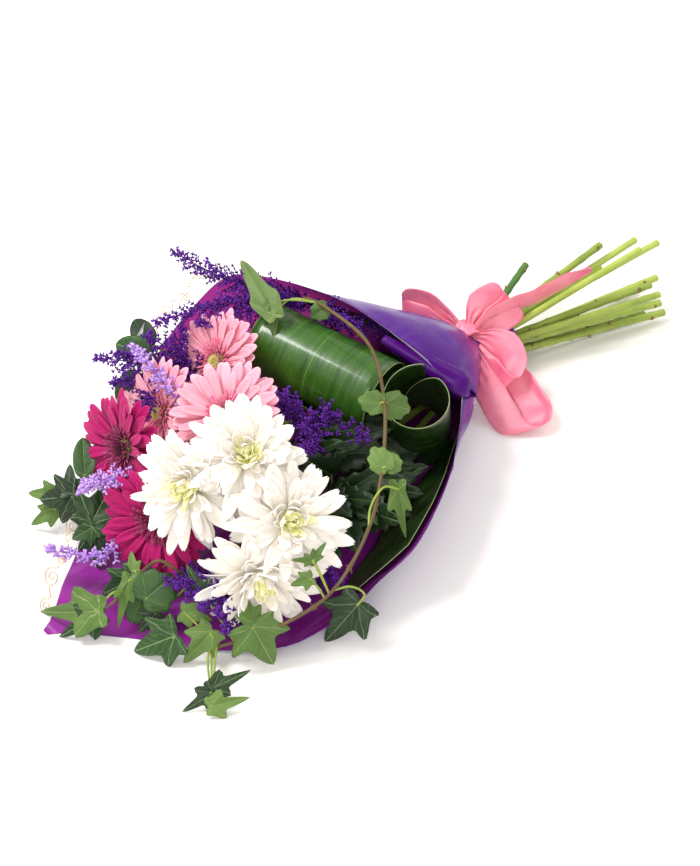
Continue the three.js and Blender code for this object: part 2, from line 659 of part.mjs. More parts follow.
// A plume: its axis swells into a string of floret heads, each as big as its neighbours leave
// room for, and side shoots end in a pointed head.
const probe = turned([[0, -0.3], [0.3, 0], [0, 0.3]], 4);
function plume(own, through, { heads, reach, shoots, length }) {
  const curve = new Route(plumeRoute(through));
  const at = (share) => ({ middle: curve.getPointAt(share), way: curve.getTangentAt(share) });
  const stringOf = (scale) => {
    const rings = [0, 0.16, 0.32].map((share) => ringAround(at(share), 1.3, 4, 0));
    for (let k = 0; k < heads; k++) {
      const share = mix(0.38, 0.93, k / (heads - 1));
      const spot = at(share);
      const room = gapAround(probe.translate(spot.middle.toArray()), reach + 3, own) - 0.8;
      const radius = Math.max(1.3, Math.min(room, reach * (1 - (0.4 * k) / heads)) * scale);
      rings.push(ringAround(spot, radius, 4, 0.6 * k));
      if (k < heads - 1) rings.push(ringAround(at(share + 0.27 / (heads - 1)), Math.min(radius, 2), 4, 0.6 * k + 0.3));
    }
    return loft([...rings, [curve.getPointAt(1)]]);
  };
  const string = firstClear([1, 0.75, 0.5, 0.3].map((scale) => () => stringOf(scale)), own);
  const parts = [string ?? plumeAxis(through)];
  for (let k = 0; k < shoots; k++) {
    const spot = at(mix(0.36, 0.88, k / (shoots - 1)));
    const makers = [0, 1, -1, 2, -2, 3, -3, 4].map((turn) => () => {
      const [out] = ringAround({ middle: point(0, 0, 0), way: spot.way }, 1, 1, 2.4 * k + 0.5 * turn);
      const heading = out.addScaledVector(spot.way, 0.8).normalize();
      const head = { middle: spot.middle.clone().addScaledVector(heading, length * 0.62), way: heading };
      return loft([[spot.middle], ringAround(head, reach * 0.66, 3, 0), [spot.middle.clone().addScaledVector(heading, length)]]);
    });
    const found = firstClear(makers, own);
    if (found) parts.push(found);
  }
  return parts;
}

const goldenrodFlorets = { heads: 4, reach: 6.5, shoots: 3, length: 18 };
const goldenrods = {
  a: { slot: "topFar", cut: [322, 8, 58], stem: [[12, 52, 104], [44, 36, 82], [90, 14, 56]],
    plumes: [[[-28, 78, 126], [-56, 102, 138], [-75, 148, 150]], [[-32, 74, 124], [-80, 84, 130], [-132, 96, 130]],
      [[-10, 62, 115], [-32, 76, 122], [-54, 68, 138]], [[-2, 34, 114], [-4, 10, 124], [2, -12, 120]]] },
  b: { slot: "highFar", cut: [256, 42, 46], stem: [[-96, 62, 66], [-40, 52, 50], [60, 24, 40]],
    plumes: [[[-118, 70, 84], [-150, 88, 100], [-180, 118, 104]], [[-120, 66, 92], [-130, 80, 110], [-138, 104, 116]],
      [[-122, 64, 76], [-160, 62, 92], [-196, 26, 104]]] },
  c: { slot: "midNear", cut: [331, -66, 26], stem: [[-66, -42, 57], [-10, -31, 35], [60, -18, 30]],
    plumes: [[[-84, -34, 80], [-94, -28, 96], [-108, -22, 110]], [[-82, -46, 78], [-92, -56, 92], [-104, -70, 104]],
      [[-72, -54, 72], [-66, -70, 82], [-56, -86, 92]]] },
  d: { slot: "bottomNear", cut: [330, -50, 4], stem: [[-140, -104, 19], [-60, -80, 12], [40, -44, 9]],
    plumes: [[[-170, -112, 24], [-204, -112, 34], [-238, -116, 38]], [[-150, -120, 22], [-150, -146, 32], [-152, -168, 42]]] },
};
const lilacFlorets = { heads: 4, reach: 5, shoots: 3, length: 14 };
const lilacs = {
  a: { slot: "lowMidFar", cut: [369, -28, 18], stem: [[-140, 8, 88], [-110, 8, 60], [-40, 4, 30]],
    plumes: [[[-158, 14, 104], [-164, 40, 118], [-163, 84, 128]]] },
  b: { slot: "lowMidNear", cut: [352, -47, 16], stem: [[-210, -16, 62], [-150, -30, 34], [-60, -28, 15]],
    plumes: [[[-228, -10, 74], [-240, -2, 84], [-266, 16, 74]], [[-228, -2, 44], [-268, -22, 34], [-302, 18, 30]]] },
};

const sprays = [
  ...Object.entries(goldenrods).map(([name, spray]) => ({ name: `goldenrod_${name}`, spray, look: paint.purple,
    florets: goldenrodFlorets })),
  ...Object.entries(lilacs).map(([name, spray]) => ({ name: `lilac_${name}`, spray, look: paint.lilac,
    florets: lilacFlorets })),
];
sprays.forEach(({ name, spray: { slot, cut, stem } }) => {
  place(`${name}_stem`, tube(stemRoute(stem.map(pointAt), slot, cut, 6), stemRadius, 5), paint.stem);
});

// Every plume starts on the end of its stem.
function plumesOf({ stem, plumes }) {
  const [end, before] = stem.map(pointAt);
  const way = end.clone().sub(before).normalize();
  const start = [clearance + 0.1, 5].map((distance) => end.clone().addScaledVector(way, distance).toArray());
  return plumes.map((through, k) => [...start.slice(Math.min(k, 1)), ...through]);
}
sprays.forEach(({ name, spray }) => {
  const axes = plumesOf(spray).map((through) => plumeAxis(through, 2.5));
  reserve(name, join(axes));
});

blooms.forEach(({ name, hub, rows, matrix, looks }) => {
  place(`${name}_petals`, petalsRound(`${name}_petals`, matrix, hub, rows), looks[0]);
});

// Leaves

// A vine or twig with leaves: each leaf's petiole springs from the stem where it says.
// A leaf that meets a neighbour is turned on its midrib, and at last made smaller.
const leafTries = [
  [0, 1], [15, 1], [-15, 1], [30, 1], [-30, 1], [50, 1], [-50, 1], [0, 0.8], [25, 0.8], [-25, 0.8],
  [75, 0.9], [-75, 0.9], [0, 0.6], [40, 0.6], [-40, 0.6],
];
function leafyStem({ through, steps, radius, leaves }) {
  const route = smooth(through.map(pointAt), steps);
  const stem = tube(route, radius, 4);
  const own = [stem];
  leaves.forEach(({ from, via = [], ...blade }) => {
    const start = nearestOn(route, pointAt(from ?? blade.base));
    const tries = leafTries.map(([roll, share]) => () => {
      const tip = pointAt(blade.base).lerp(pointAt(blade.tip), share).toArray();
      const inner = pointAt(blade.base).lerp(pointAt(tip), 0.08);
      const bent = [start, ...via.map(pointAt), inner];
      const petiole = tube(via.length ? smooth(bent, 2) : bent, 1, 3);
      return join([petiole, leaf({ ...blade, tip, roll: (blade.roll ?? 0) + roll })]);
    });
    const found = firstClear(tries);
    if (found) own.push(found);
  });
  return join(own);
}

const ivies = {
  long: { radius: 2.1, steps: 22,
    through: [[84, -9.5, 59.6], [60, 4, 72], [30, 28, 100], [6, 38, 116], [-16, 42, 131], [-18, 20, 139], [-23, -50, 140], [-55, -107, 134],
      [-80, -137, 126], [-98, -155, 116], [-128, -178, 98], [-157, -188, 76], [-180, -188, 58], [-208, -176, 40],
      [-228, -160, 26], [-252, -142, 14], [-278, -122, 8]],
    leaves: [
      { base: [-45, 58, 134], tip: [-38, 100, 160], via: [[-30, 38, 138]], from: [-18, 20, 139], half: foldedHalf },
      { base: [-15, 14, 136], tip: [-26, 17, 128], broad: 1.1 },
      { base: [-60, -104, 130], tip: [-56, -88, 134], broad: 1.1 },
      { base: [-52, -116, 134], tip: [-28, -108, 118], broad: 1.1 },
      { base: [-100, -160, 118], tip: [-88, -148, 132], broad: 1.2 },
      { base: [-92, -164, 96], tip: [-104, -184, 52], via: [[-124, -166, 100], [-110, -160, 104]], from: [-126, -176, 98],
        broad: 0.5, roll: 30 },
      { base: [-172, -176, 78], tip: [-187, -166, 84], broad: 0.9 },
      { base: [-148, -192, 26], tip: [-183, -190, 4], via: [[-146, -186, 50]], from: [-162, -188, 72], broad: 0.95 },
      { base: [-232, -176, 44], tip: [-236, -202, 20], from: [-222, -166, 30], broad: 1.15 },
      { base: [-272, -116, 18], tip: [-302, -98, 3], broad: 1.05 },
      { base: [-246, -126, 24], tip: [-250, -106, 32], broad: 0.8 },
      { base: [-280, -174, 12], tip: [-305, -168, 3], via: [[-266, -150, 20]], from: [-254, -141, 13], broad: 0.5 },
      { base: [-264, -171, 14], tip: [-244, -176, 18], via: [[-262, -160, 24]], from: [-252, -142, 15], broad: 0.6 },
      { base: [-282, -180, 8], tip: [-266, -196, 10], from: [-276, -170, 14], broad: 0.6 },
    ] },
  front: { radius: 1.6, steps: 10,
    through: [[-150, -50, 3.6], [-190, -60, 3.9], [-222, -76, 14], [-240, -84, 40], [-252, -70, 52], [-272, -62, 36],
      [-290, -62, 26], [-304, -62, 22]],
    leaves: [
      { base: [-306, -62, 24], tip: [-336, -12, 6], broad: 0.75 },
      { base: [-307, -64, 18], tip: [-333, -50, 5], broad: 0.7 },
      { base: [-268, -42, 24], tip: [-288, -36, 12], broad: 0.9 },
      { base: [-268, -60, 30], tip: [-278, -60, 18], broad: 0.5 },
      { base: [-261, -80, 22], tip: [-257, -66, 34], via: [[-262, -86, 18]], from: [-228, -79, 24], broad: 1.3 },
      { base: [-266, -78, 20], tip: [-277, -76, 10], broad: 1.2 },
      { base: [-237, -100, 26], tip: [-234, -82, 42], from: [-228, -79, 24], broad: 0.5 },
    ] },
  left: { radius: 1.6, steps: 8,
    through: [[-170, 22, 9.5], [-220, 24, 11.1], [-250, 28, 22], [-258, 44, 28], [-258, 60, 26]],
    leaves: [
      { base: [-256, 54, 28], tip: [-266, 92, 14], broad: 0.85 },
      { base: [-254, 64, 24], tip: [-262, 96, 18], broad: 0.7 },
      { base: [-264, 66, 14], tip: [-282, 78, 4], broad: 0.6 },
      { base: [-246, 60, 34], tip: [-236, 88, 44], broad: 0.5 },
      { base: [-268, -4, 44], tip: [-236, 20, 64], from: [-252, 30, 24], via: [[-266, 8, 34]], broad: 0.85 },
      { base: [-266, -2, 34], tip: [-272, -12, 18], from: [-252, 30, 24], via: [[-262, 12, 28]], broad: 0.8 },
    ] },
};
Object.entries(ivies).forEach(([name, vine]) => place(`ivy_${name}`, leafyStem(vine), paint.ivy));

// The broad leaf that lines the front wall of the wrap.
function wallPoint(x, angle, inset) {
  const next = filmSections.findIndex((section) => section.x <= x);
  const [a, b] = [filmSections[next - 1], filmSections[next]];
  const share = (x - a.x) / (b.x - a.x);
  const [flat, reach, rise] = [mix(a.flat[0], b.flat[0], share), mix(a.reach[0], b.reach[0], share),
    mix(a.rise, b.rise, share)];
  const bend = radians(angle);
  return point(x, flat - (reach - inset) * Math.sin(bend), rise - (rise - inset) * Math.cos(bend));
}
const liningStations = [
  { x: 74, angle: 90, width: 3 }, { x: 60, angle: 80, width: 12 }, { x: 35, angle: 68, width: 36 },
  { x: 12, angle: 60, width: 52 }, { x: -12, angle: 54, width: 60 }, { x: -47, angle: 46, width: 64 },
  { x: -87, angle: 40, width: 54 }, { x: -125, angle: 36, width: 30 }, { x: -150, angle: 34, width: 4 },
];
const lining = sheet(
  liningStations.map(({ x, angle, width }) =>
    [-1, -0.35, 0.35, 1].map((offset) => wallPoint(x, angle + (offset * width * 90) / (Math.PI * 100), 4))),
  leafThickness,
);
place("aspidistra_lining", settle(lining, point(0, -0.77, -0.64)), paint.aspidistra);

const salals = {
  left: { radius: 1.6, steps: 5, through: [[-190, 38, 19.5], [-214, 50, 42], [-238, 48, 50], [-250, 40, 58]],
    leaves: [
      { base: [-250, 36, 62], tip: [-232, 60, 90], half: roundHalf },
      { base: [-232, 54, 52], tip: [-226, 78, 60], half: roundHalf },
    ] },
};
Object.entries(salals).forEach(([name, twig]) => place(`salal_${name}`, leafyStem(twig), paint.salal));

sprays.forEach(({ name, spray, look, florets: kind }) => {
  place(name, join(plumesOf(spray).map((through) => plume(name, through, kind)).flat()), look);
});

bouquet.name = "mixed_flower_bouquet";
export default bouquet;
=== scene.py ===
import math
import random

import bpy
import numpy as np
from mathutils import Matrix, Vector, noise


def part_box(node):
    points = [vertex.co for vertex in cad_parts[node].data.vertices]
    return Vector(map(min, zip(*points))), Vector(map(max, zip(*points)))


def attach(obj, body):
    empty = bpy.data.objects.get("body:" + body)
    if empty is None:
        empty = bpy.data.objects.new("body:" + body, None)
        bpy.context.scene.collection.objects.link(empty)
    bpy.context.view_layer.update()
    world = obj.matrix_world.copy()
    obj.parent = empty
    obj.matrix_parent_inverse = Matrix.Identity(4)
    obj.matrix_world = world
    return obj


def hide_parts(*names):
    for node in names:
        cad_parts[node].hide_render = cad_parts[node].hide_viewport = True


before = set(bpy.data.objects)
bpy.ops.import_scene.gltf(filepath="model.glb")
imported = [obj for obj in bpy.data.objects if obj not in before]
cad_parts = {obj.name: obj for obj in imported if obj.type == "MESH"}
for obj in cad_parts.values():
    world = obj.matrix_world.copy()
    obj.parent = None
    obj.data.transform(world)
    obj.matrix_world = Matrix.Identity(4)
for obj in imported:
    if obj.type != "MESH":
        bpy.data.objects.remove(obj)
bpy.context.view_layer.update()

bpy.context.scene.view_settings.view_transform = "Standard"
bpy.ops.object.select_all(action="DESELECT")
chance = random.Random(11)
layoutCentre = (28.5, -30)  # where the part's own origin lies in the layout, in millimetres
goldenTurn = 2.39996  # turn between one floret of a spiral and the next, in radians


def at(x, y, z):
    # layout millimetres to metres in the part's frame
    return Vector(((x - layoutCentre[0]) / 1000, (y - layoutCentre[1]) / 1000, z / 1000))


def vary(amount):
    return chance.uniform(-amount, amount)


def heading(turn, tilt):
    # the way that points so many degrees round from +X and up from the floor
    turn, tilt = math.radians(turn), math.radians(tilt)
    return Vector((math.cos(tilt) * math.cos(turn), math.cos(tilt) * math.sin(turn), math.sin(tilt)))


def spun(way, angle, axis):
    return Matrix.Rotation(angle, 3, axis) @ way


def framed(place, x, y, z):
    # the matrix that carries a shape to a place, with its axes along x, y and z
    return Matrix.Translation(place) @ Matrix((x, y, z)).transposed().to_4x4()


# camera, floor and light
view = {"distance": 1.5, "azimuth": -40, "elevation": 40, "lens": 70, "sensor": 36, "target": at(0, 0, 0)}
studio = {
    "sky": (1, 0.985, 0.96, 1), "skyStrength": 0.8, "floorSize": 6, "floorHeight": -0.0002,
    "lamps": [  # name, place, size and power; each one points at the origin
        ("keyLight", (-0.75, 0.75, 1.7), 0.7, 34),
        ("frontLight", (-1.2, -1.4, 1.3), 1.0, 14),
        ("sideLight", (1.3, -0.2, 1.4), 1.0, 6)],
}


def aimed(place, back):
    return Matrix.Translation(place) @ back.to_track_quat("Z", "Y").to_matrix().to_4x4()


def addCamera():
    data = bpy.data.cameras.new("photoCamera")
    data.lens = view["lens"]
    data.sensor_fit = "VERTICAL"
    data.sensor_height = view["sensor"]
    data.clip_end = 20
    camera = bpy.data.objects.new("photoCamera", data)
    back = heading(view["azimuth"] - 90, view["elevation"])
    camera.matrix_world = aimed(view["target"] + back * view["distance"], back)
    bpy.context.collection.objects.link(camera)
    bpy.context.scene.camera = camera


def addLights():
    world = bpy.data.worlds.new("studio")
    world.use_nodes = True
    sky = world.node_tree.nodes["Background"].inputs
    sky["Color"].default_value = studio["sky"]
    sky["Strength"].default_value = studio["skyStrength"]
    bpy.context.scene.world = world
    for name, place, size, power in studio["lamps"]:
        data = bpy.data.lights.new(name, "AREA")
        data.size, data.energy = size, power
        lamp = bpy.data.objects.new(name, data)
        lamp.matrix_world = aimed(Vector(place), Vector(place))
        bpy.context.collection.objects.link(lamp)


def addFloor():
    bpy.ops.mesh.primitive_plane_add(size=studio["floorSize"], location=(0, 0, studio["floorHeight"]))
    floor = bpy.context.object
    floor.name = "floor"
    bpy.ops.object.transform_apply(location=True)
    wear(floor, "floor")


# materials
finishes = {}  # each material by its name


def rgb(code):
    # a screen colour such as "f48aa4"
    parts = [int(code[k:k + 2], 16) / 255 for k in (0, 2, 4)]
    return (*(part / 12.92 if part < 0.04045 else ((part + 0.055) / 1.055) ** 2.4 for part in parts), 1)


class Wire:
    # a node's output; sums and products of wires add Math nodes
    def __init__(self, finish, socket):
        self.finish, self.socket = finish, socket

    def maths(self, operation, first, second=0.0):
        return self.finish.node("ShaderNodeMath", {"operation": operation}, {0: first, 1: second})

    def __add__(self, other):
        return self.maths("ADD", self, other)

    def __sub__(self, other):
        return self.maths("SUBTRACT", self, other)

    def __rsub__(self, other):
        return self.maths("SUBTRACT", other, self)

    def __mul__(self, other):
        return self.maths("MULTIPLY", self, other)

    def __pow__(self, other):
        return self.maths("POWER", self, other)

    def __gt__(self, other):
        return self.maths("GREATER_THAN", self, other)

    def __abs__(self):
        return self.maths("ABSOLUTE", self)

    def sine(self):
        return self.maths("SINE", self)

    def fraction(self):
        return self.maths("FRACT", self)

    def smallest(self, other):
        return self.maths("MINIMUM", self, other)

    def largest(self, other):
        return self.maths("MAXIMUM", self, other)

    __radd__ = __add__
    __rmul__ = __mul__


class Finish:
    # a material whose pattern is built with node() and fed to its shader
    def __init__(self, name, shader):
        material = bpy.data.materials.new(name)
        material.use_nodes = True
        finishes[name] = material
        self.tree = material.node_tree
        self.shader = self.tree.nodes["Principled BSDF"]
        self.feed(shader)

    def join(self, socket, value):
        if isinstance(value, Wire):
            self.tree.links.new(value.socket, socket)
        else:
            socket.default_value = rgb(value) if isinstance(value, str) else value

    def feed(self, sockets):
        for name, value in sockets.items():
            self.join(self.shader.inputs[name], value)

    def node(self, kind, settings=None, sockets=None, output=0):
        made = self.tree.nodes.new(kind)
        for name, value in (settings or {}).items():
            if name == "stops":
                ramp = made.color_ramp
                while len(ramp.elements) < len(value):
                    ramp.elements.new(1)
                for element, (place, colour) in zip(ramp.elements, value):
                    element.position, element.color = place, rgb(colour)
            else:
                setattr(made, name, value)
        for name, value in (sockets or {}).items():
            self.join(made.inputs[name], value)
        return Wire(self, made.outputs[output])

    def object(self):
        return self.node("ShaderNodeTexCoord", output="Object")

    def axis(self, vector, name):
        return self.node("ShaderNodeSeparateXYZ", None, {0: vector}, name)

    def uv(self):
        flat = self.node("ShaderNodeTexCoord", output="UV")
        return [self.axis(flat, name) for name in ("X", "Y")]

    def tone(self):
        return self.node("ShaderNodeAttribute", {"attribute_name": "tone"}, None, "Fac")

    def speckle(self, scale, detail=2.0, vector=None, stretch=None):
        vector = vector or self.object()
        if stretch:
            vector = self.node("ShaderNodeMapping", None, {"Vector": vector, "Scale": stretch})
        return self.node("ShaderNodeTexNoise", None, {"Vector": vector, "Scale": scale, "Detail": detail})

    def plane(self, u, v, stretch):
        # a flat place from two wires, stretched
        return self.node("ShaderNodeCombineXYZ", None, {"X": u * stretch[0], "Y": v * stretch[1]})

    def mix(self, share, low, high):
        return self.node("ShaderNodeMix", {"data_type": "RGBA"}, {0: share, 6: low, 7: high}, 2)

    def ramp(self, share, stops):
        return self.node("ShaderNodeValToRGB", {"stops": stops}, {0: share})

    def bump(self, height, strength, distance):
        sockets = {"Height": height, "Strength": strength, "Distance": distance}
        self.feed({"Normal": self.node("ShaderNodeBump", None, sockets)})


def band(wire, middle, reach):
    # one at the middle, falling to nothing at its reach
    away = abs(wire - middle) * (1 / reach)
    return 1 - away.smallest(1.0)


# film: glossy, with faint creases; its glow is painted light, in the film's own colour, that rises towards
# the wall at the back as if daylight came through it
# crease is how much the pale streaks of painted sheen lighten the film along its creases
filmLooks = {
    # the inside is a lighter, pinker copy of the outside, painted as lit through the film; the fold's copy is
    # darker, painted shade on the rolled corner
    "filmInside": {"low": "6a1476", "high": "9c2c94", "gloss": 1, "crease": 0.05, "glow": "e04ab4"},
    "filmOutside": {"low": "40126e", "high": "6c3298", "gloss": 0.35, "crease": 0.02, "glow": "1a0828"},
    "filmFold": {"low": "3a0460", "high": "640e88", "gloss": 0.35, "crease": 0.02, "glow": "1a0828"},
}


def filmFinish(name, look):
    gloss = look["gloss"]
    finish = Finish(name, {"Coat Weight": 0.2 * gloss, "Coat Roughness": 0.06,
                           "Specular IOR Level": 0.25 * gloss, "Emission Strength": 0.45})
    cloud = finish.speckle(7, 3)
    crease = finish.speckle(16, 4, stretch=(0.3, 1.6, 1.6))
    # painted sheen: pale lilac streaks where the crease noise is near its middle
    paintedSheenStreak = finish.ramp(crease, [(0.46, "000000"), (0.5, "ffffff"), (0.54, "000000")])
    body = finish.mix((cloud - 0.3) * 1.6, look["low"], look["high"])
    # painted light: the glow grows with the part's Y, towards the wall at the back
    through = finish.ramp(finish.axis(finish.object(), "Y"), [(0.07, "000000"), (0.125, "ffffff")])
    finish.feed({"Base Color": finish.mix(paintedSheenStreak * look["crease"], body, "d9c6e6"),
                 "Emission Color": finish.mix(through, "000000", look["glow"]),
                 "Roughness": 0.2 + cloud * 0.15})
    finish.bump(cloud * 2 + crease, 0.35, 0.004)


def clearFinish():
    # the film's unprinted margins
    finish = Finish("clearFilm", {"Coat Weight": 0.3, "IOR": 1.3, "Roughness": 0.12})
    cloud = finish.speckle(26, 3)
    finish.feed({"Base Color": finish.mix(cloud, "f7eff2", "ffffff"), "Alpha": 0.07 + cloud ** 2 * 0.3})
    finish.bump(cloud, 0.3, 0.003)


def satinFinish():
    # fine weft lines over the ribbon's width, darker woven edges and a soft sheen, with soft patches of
    # painted highlight and painted shade
    finish = Finish("satin", {"Sheen Weight": 0.15, "Sheen Roughness": 0.3, "Specular IOR Level": 0.9,
                              "Anisotropic": 0.7})
    u, v = finish.uv()
    weft = (u * 5200).sine() * 0.5 + 0.5
    slub = finish.speckle(1, 2, finish.plane(u, v, (90, 4)))
    # painted highlight and shade: this noise lightens and darkens the pink, and also bumps the satin into
    # folds
    foldsAndPaintedLight = finish.speckle(34, 3)
    edge = band(v, 0, 0.03) + band(v, 1, 0.03)
    colour = finish.mix((foldsAndPaintedLight - 0.3) * 1.5, "e65c7e", "ffa9b8")
    finish.feed({"Base Color": finish.mix(edge * 0.4, colour, "e2607f"), "Roughness": 0.24 + slub * 0.14})
    finish.bump(weft * 0.15 + slub * 0.7 + foldsAndPaintedLight, 0.3, 0.0012)


stemLooks = {  # low and high colour, and how strong the brown spots are
    "paleStem": ("8ea038", "c6d36a", 0.1), "greenStem": ("68802c", "adbc54", 0.45),
    "darkStem": ("2f5a26", "5d8a3c", 0.15), "vineBark": ("3a2816", "7a6434", 0.4)}


def stemFinish(name, low, high, spotted):
    finish = Finish(name, {"Roughness": 0.5, "Specular IOR Level": 0.4})
    fibre = finish.speckle(60, 4, stretch=(0.25, 2.2, 2.2))
    blotch = finish.speckle(45, 3)
    spots = finish.ramp(finish.speckle(190, 2), [(0.66, "000000"), (0.72, "ffffff")])
    body = finish.mix((fibre * 0.6 + blotch * 0.6 - 0.25) * 1.2, low, high)
    finish.feed({"Base Color": finish.mix(spots * spotted, body, "6b5028")})
    finish.bump(fibre + spots * 0.4, 0.45, 0.0012)


grainLooks = {  # shader; the speckle's scale, detail and stretch; two colours; the bump's strength and reach
    "goldInk": ({"Metallic": 0.55, "Roughness": 0.35}, (300, 2), None, ("c98a35", "f3c67c"), None),
    "cutEnd": ({"Roughness": 0.8}, (420, 3), None, ("c3c98a", "eef0cc"), (0.5, 0.0006)),
    "scar": ({"Roughness": 0.85}, (500, 4), None, ("4f3d1e", "a08450"), (0.7, 0.0008)),
    "binding": ({"Roughness": 0.85}, (160, 4), (3, 0.4, 0.4), ("a8935a", "e4d8ac"), (0.8, 0.0015)),
    "floor": ({"Roughness": 0.9, "Specular IOR Level": 0.1}, (30, 4), None, ("f6f3ef", "faf8f5"), None)}


def grainFinish(name, shader, speckle, stretch, colours, bump):
    finish = Finish(name, shader)
    grain = finish.speckle(*speckle, stretch=stretch)
    finish.feed({"Base Color": finish.mix(grain, *colours)})
    if bump:
        finish.bump(grain, *bump)


floretLooks = {  # low and high colour
    "yellowFloret": ("b8a850", "efe6a0"), "darkFloret": ("1d0410", "5c1030"),
    "greenFloret": ("a9b53a", "e3e48c"), "deepBud": ("2a0852", "7526ae"), "lilacBud": ("9160c4", "d8b4ec")}


def floretFinish(name, low, high):
    finish = Finish(name, {"Roughness": 0.5, "Specular IOR Level": 0.3})
    grain = finish.speckle(700, 2)
    finish.feed({"Base Color": finish.mix(finish.tone() * 0.75 + grain * 0.3, low, high)})
    finish.bump(grain, 0.4, 0.0005)


petalLooks = {  # colours at the base, along the blade and at the tip; grooves, ribs and their depth, which also sets how much painted shade darkens the grooves; the glow, a painted light
    "pinkPetal": ("e06f8e", "f29fb2", "f9c9d3", 5, 9, 0.32, 0.04),
    "pinkFrill": ("d44a76", "ec6f96", "f9bccc", 3, 6, 0.25, 0.04),
    "magentaPetal": ("640240", "ac055c", "c41d74", 6, 10, 0.4, 0.04),
    "magentaFrill": ("3c0322", "8c0c48", "c9628f", 3, 6, 0.35, 0),
    "whitePetal": ("dcd8a0", "f2ebe3", "f7f3ee", 4, 7, 0.1, 0.08),
    "heartPetal": ("c6c64e", "ebe8aa", "f3f0d8", 3, 6, 0.1, 0.16)}


def petalFinish(name, base, body, tip, grooves, ribs, depth, glow):
    # painted light: the petal glows in its own colour, which lifts the shade between petals as if light came
    # through a thin petal
    finish = Finish(name, {"Roughness": 0.55, "Specular IOR Level": 0.2, "Sheen Weight": 0.08,
                           "Emission Strength": glow})
    u, v = finish.uv()
    tone = finish.tone()
    streaks = finish.speckle(1.0, 3, finish.plane(u, v + tone * 7, (1.6, ribs)))
    along = finish.ramp(u + (streaks - 0.5) * 0.25, [(0, base), (0.28, body), (0.7, body), (1, tip)])
    lines = band((v * grooves).fraction(), 0.5, 0.5)
    # painted shade: the grooves darken towards the base colour, as much as depth says
    shade = finish.mix((1 - lines) ** 4 * depth, along, base)
    colour = finish.mix((tone - 0.5) * 0.3 + 0.15, shade, tip)
    finish.feed({"Base Color": colour, "Emission Color": colour})
    finish.bump(lines * 0.6 + streaks * 0.5, 0.25 + depth * 0.6, 0.0009)


leafLooks = {  # dark and light colour, the veins' colour, and roughness; shadeIvy and shadeLeaf are darker copies for leaves in shade, painted shade
    "ivyLeaf": ("122a0d", "315622", "a3b985", 0.3), "paleIvy": ("416026", "718c42", "a3b678", 0.42),
    "greyIvy": ("4a622f", "7a9152", "94a873", 0.5), "shadeIvy": ("0e200d", "2a4722", "93a97c", 0.34),
    "roundLeaf": ("1f3f19", "476a30", "86a25a", 0.34), "shadeLeaf": ("081607", "1f3a15", "4c6c30", 0.4)}
leafVeins = [(0, 0.014), (51, 0.011), (104, 0.01)]  # degrees from the tip, and breadth


def leafFinish(name, dark, light, vein, rough):
    # main veins run from the petiole's end to the lobes, with fine ones between them
    finish = Finish(name, {"Specular IOR Level": 0.34})
    u, v = finish.uv()
    patches = finish.speckle(60, 4)
    along, aside = (u - 0.3) * 2 + (patches - 0.5) * 0.22, abs(v - 0.5) * 2
    drawn = []
    for angle, breadth in leafVeins:
        c, s = math.cos(math.radians(angle)), math.sin(math.radians(angle))
        ahead = along * c + aside * s > -0.01
        drawn.append(band(along * s - aside * c, 0, breadth) * ahead)
    lines = drawn[0].largest(drawn[1]).largest(drawn[2])
    side = band((aside * 7 + along * -5 + patches * 4).fraction(), 0.5, 0.5) ** 9
    cells = finish.speckle(500, 2)
    base = finish.mix((patches - 0.35) * 0.66 + finish.tone() * 0.5, dark, light)
    netted = finish.mix(side * patches * 0.3, base, vein)
    finish.feed({"Base Color": finish.mix(lines * 0.7, netted, vein), "Roughness": rough + patches * 0.2})
    finish.bump(lines * -1 + cells * 0.4 + side * -0.4 + patches, 0.55, 0.0009)


# the darker aspidistra copy is for the blades that lie in shade: painted shade
bladeLooks = {"darkAspidistra": ("071404", "1e4010"), "aspidistra": ("102806", "3f7314")}


def bladeFinish(name, low, high):
    # long ribs from the petiole to the tip, with a pale rim and midrib under a waxy coat
    finish = Finish(name, {"Coat Weight": 0.6, "Coat Roughness": 0.13, "Specular IOR Level": 0.3})
    u, v = finish.uv()
    ribs = (v * 460).sine() * 0.5 + 0.5
    fine = finish.speckle(1, 3, finish.plane(u, v, (6, 46)))
    broad = finish.speckle(1, 2, finish.plane(u, v, (7, 12)))
    rim = (band(v, 0, 0.006) + band(v, 1, 0.006)) ** 0.5
    midrib = band(v, 0.5, 0.01)
    body = finish.mix(fine * 0.8 + broad * 0.8 - 0.4, low, high)
    ribbed = finish.mix(ribs ** 3 * 0.1 + midrib * 0.35, body, "6a9a38")
    finish.feed({"Base Color": finish.mix(rim * 0.6, ribbed, "a8b878"), "Roughness": 0.3 + fine * 0.2})
    finish.bump(ribs * 0.05 + fine * 0.3 + broad * 2 + midrib * 0.25, 0.4, 0.0016)


for name, look in filmLooks.items():
    filmFinish(name, look)
for make, looks in ((petalFinish, petalLooks), (stemFinish, stemLooks), (grainFinish, grainLooks),
                    (floretFinish, floretLooks), (leafFinish, leafLooks), (bladeFinish, bladeLooks)):
    for name, look in looks.items():
        make(name, *look)
clearFinish()
satinFinish()
print("materials made")


# modelling helpers
def wear(piece, *names):
    piece.data.materials.clear()
    for name in names:
        piece.data.materials.append(finishes[name])
    return piece


def settle(piece, nodes):
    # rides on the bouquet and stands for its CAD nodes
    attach(piece, "root")
    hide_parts(*nodes)
    return piece


def only(piece):
    bpy.ops.object.select_all(action="DESELECT")
    piece.select_set(True)
    bpy.context.view_layer.objects.active = piece


def addModifier(piece, kind, **settings):
    only(piece)
    modifier = piece.modifiers.new(kind.lower(), kind)
    for name, value in settings.items():
        setattr(modifier, name, value)
    bpy.ops.object.modifier_apply(modifier=modifier.name)
    return piece


def thickened(piece, thickness):
    return addModifier(piece, "SOLIDIFY", thickness=thickness, offset=0)


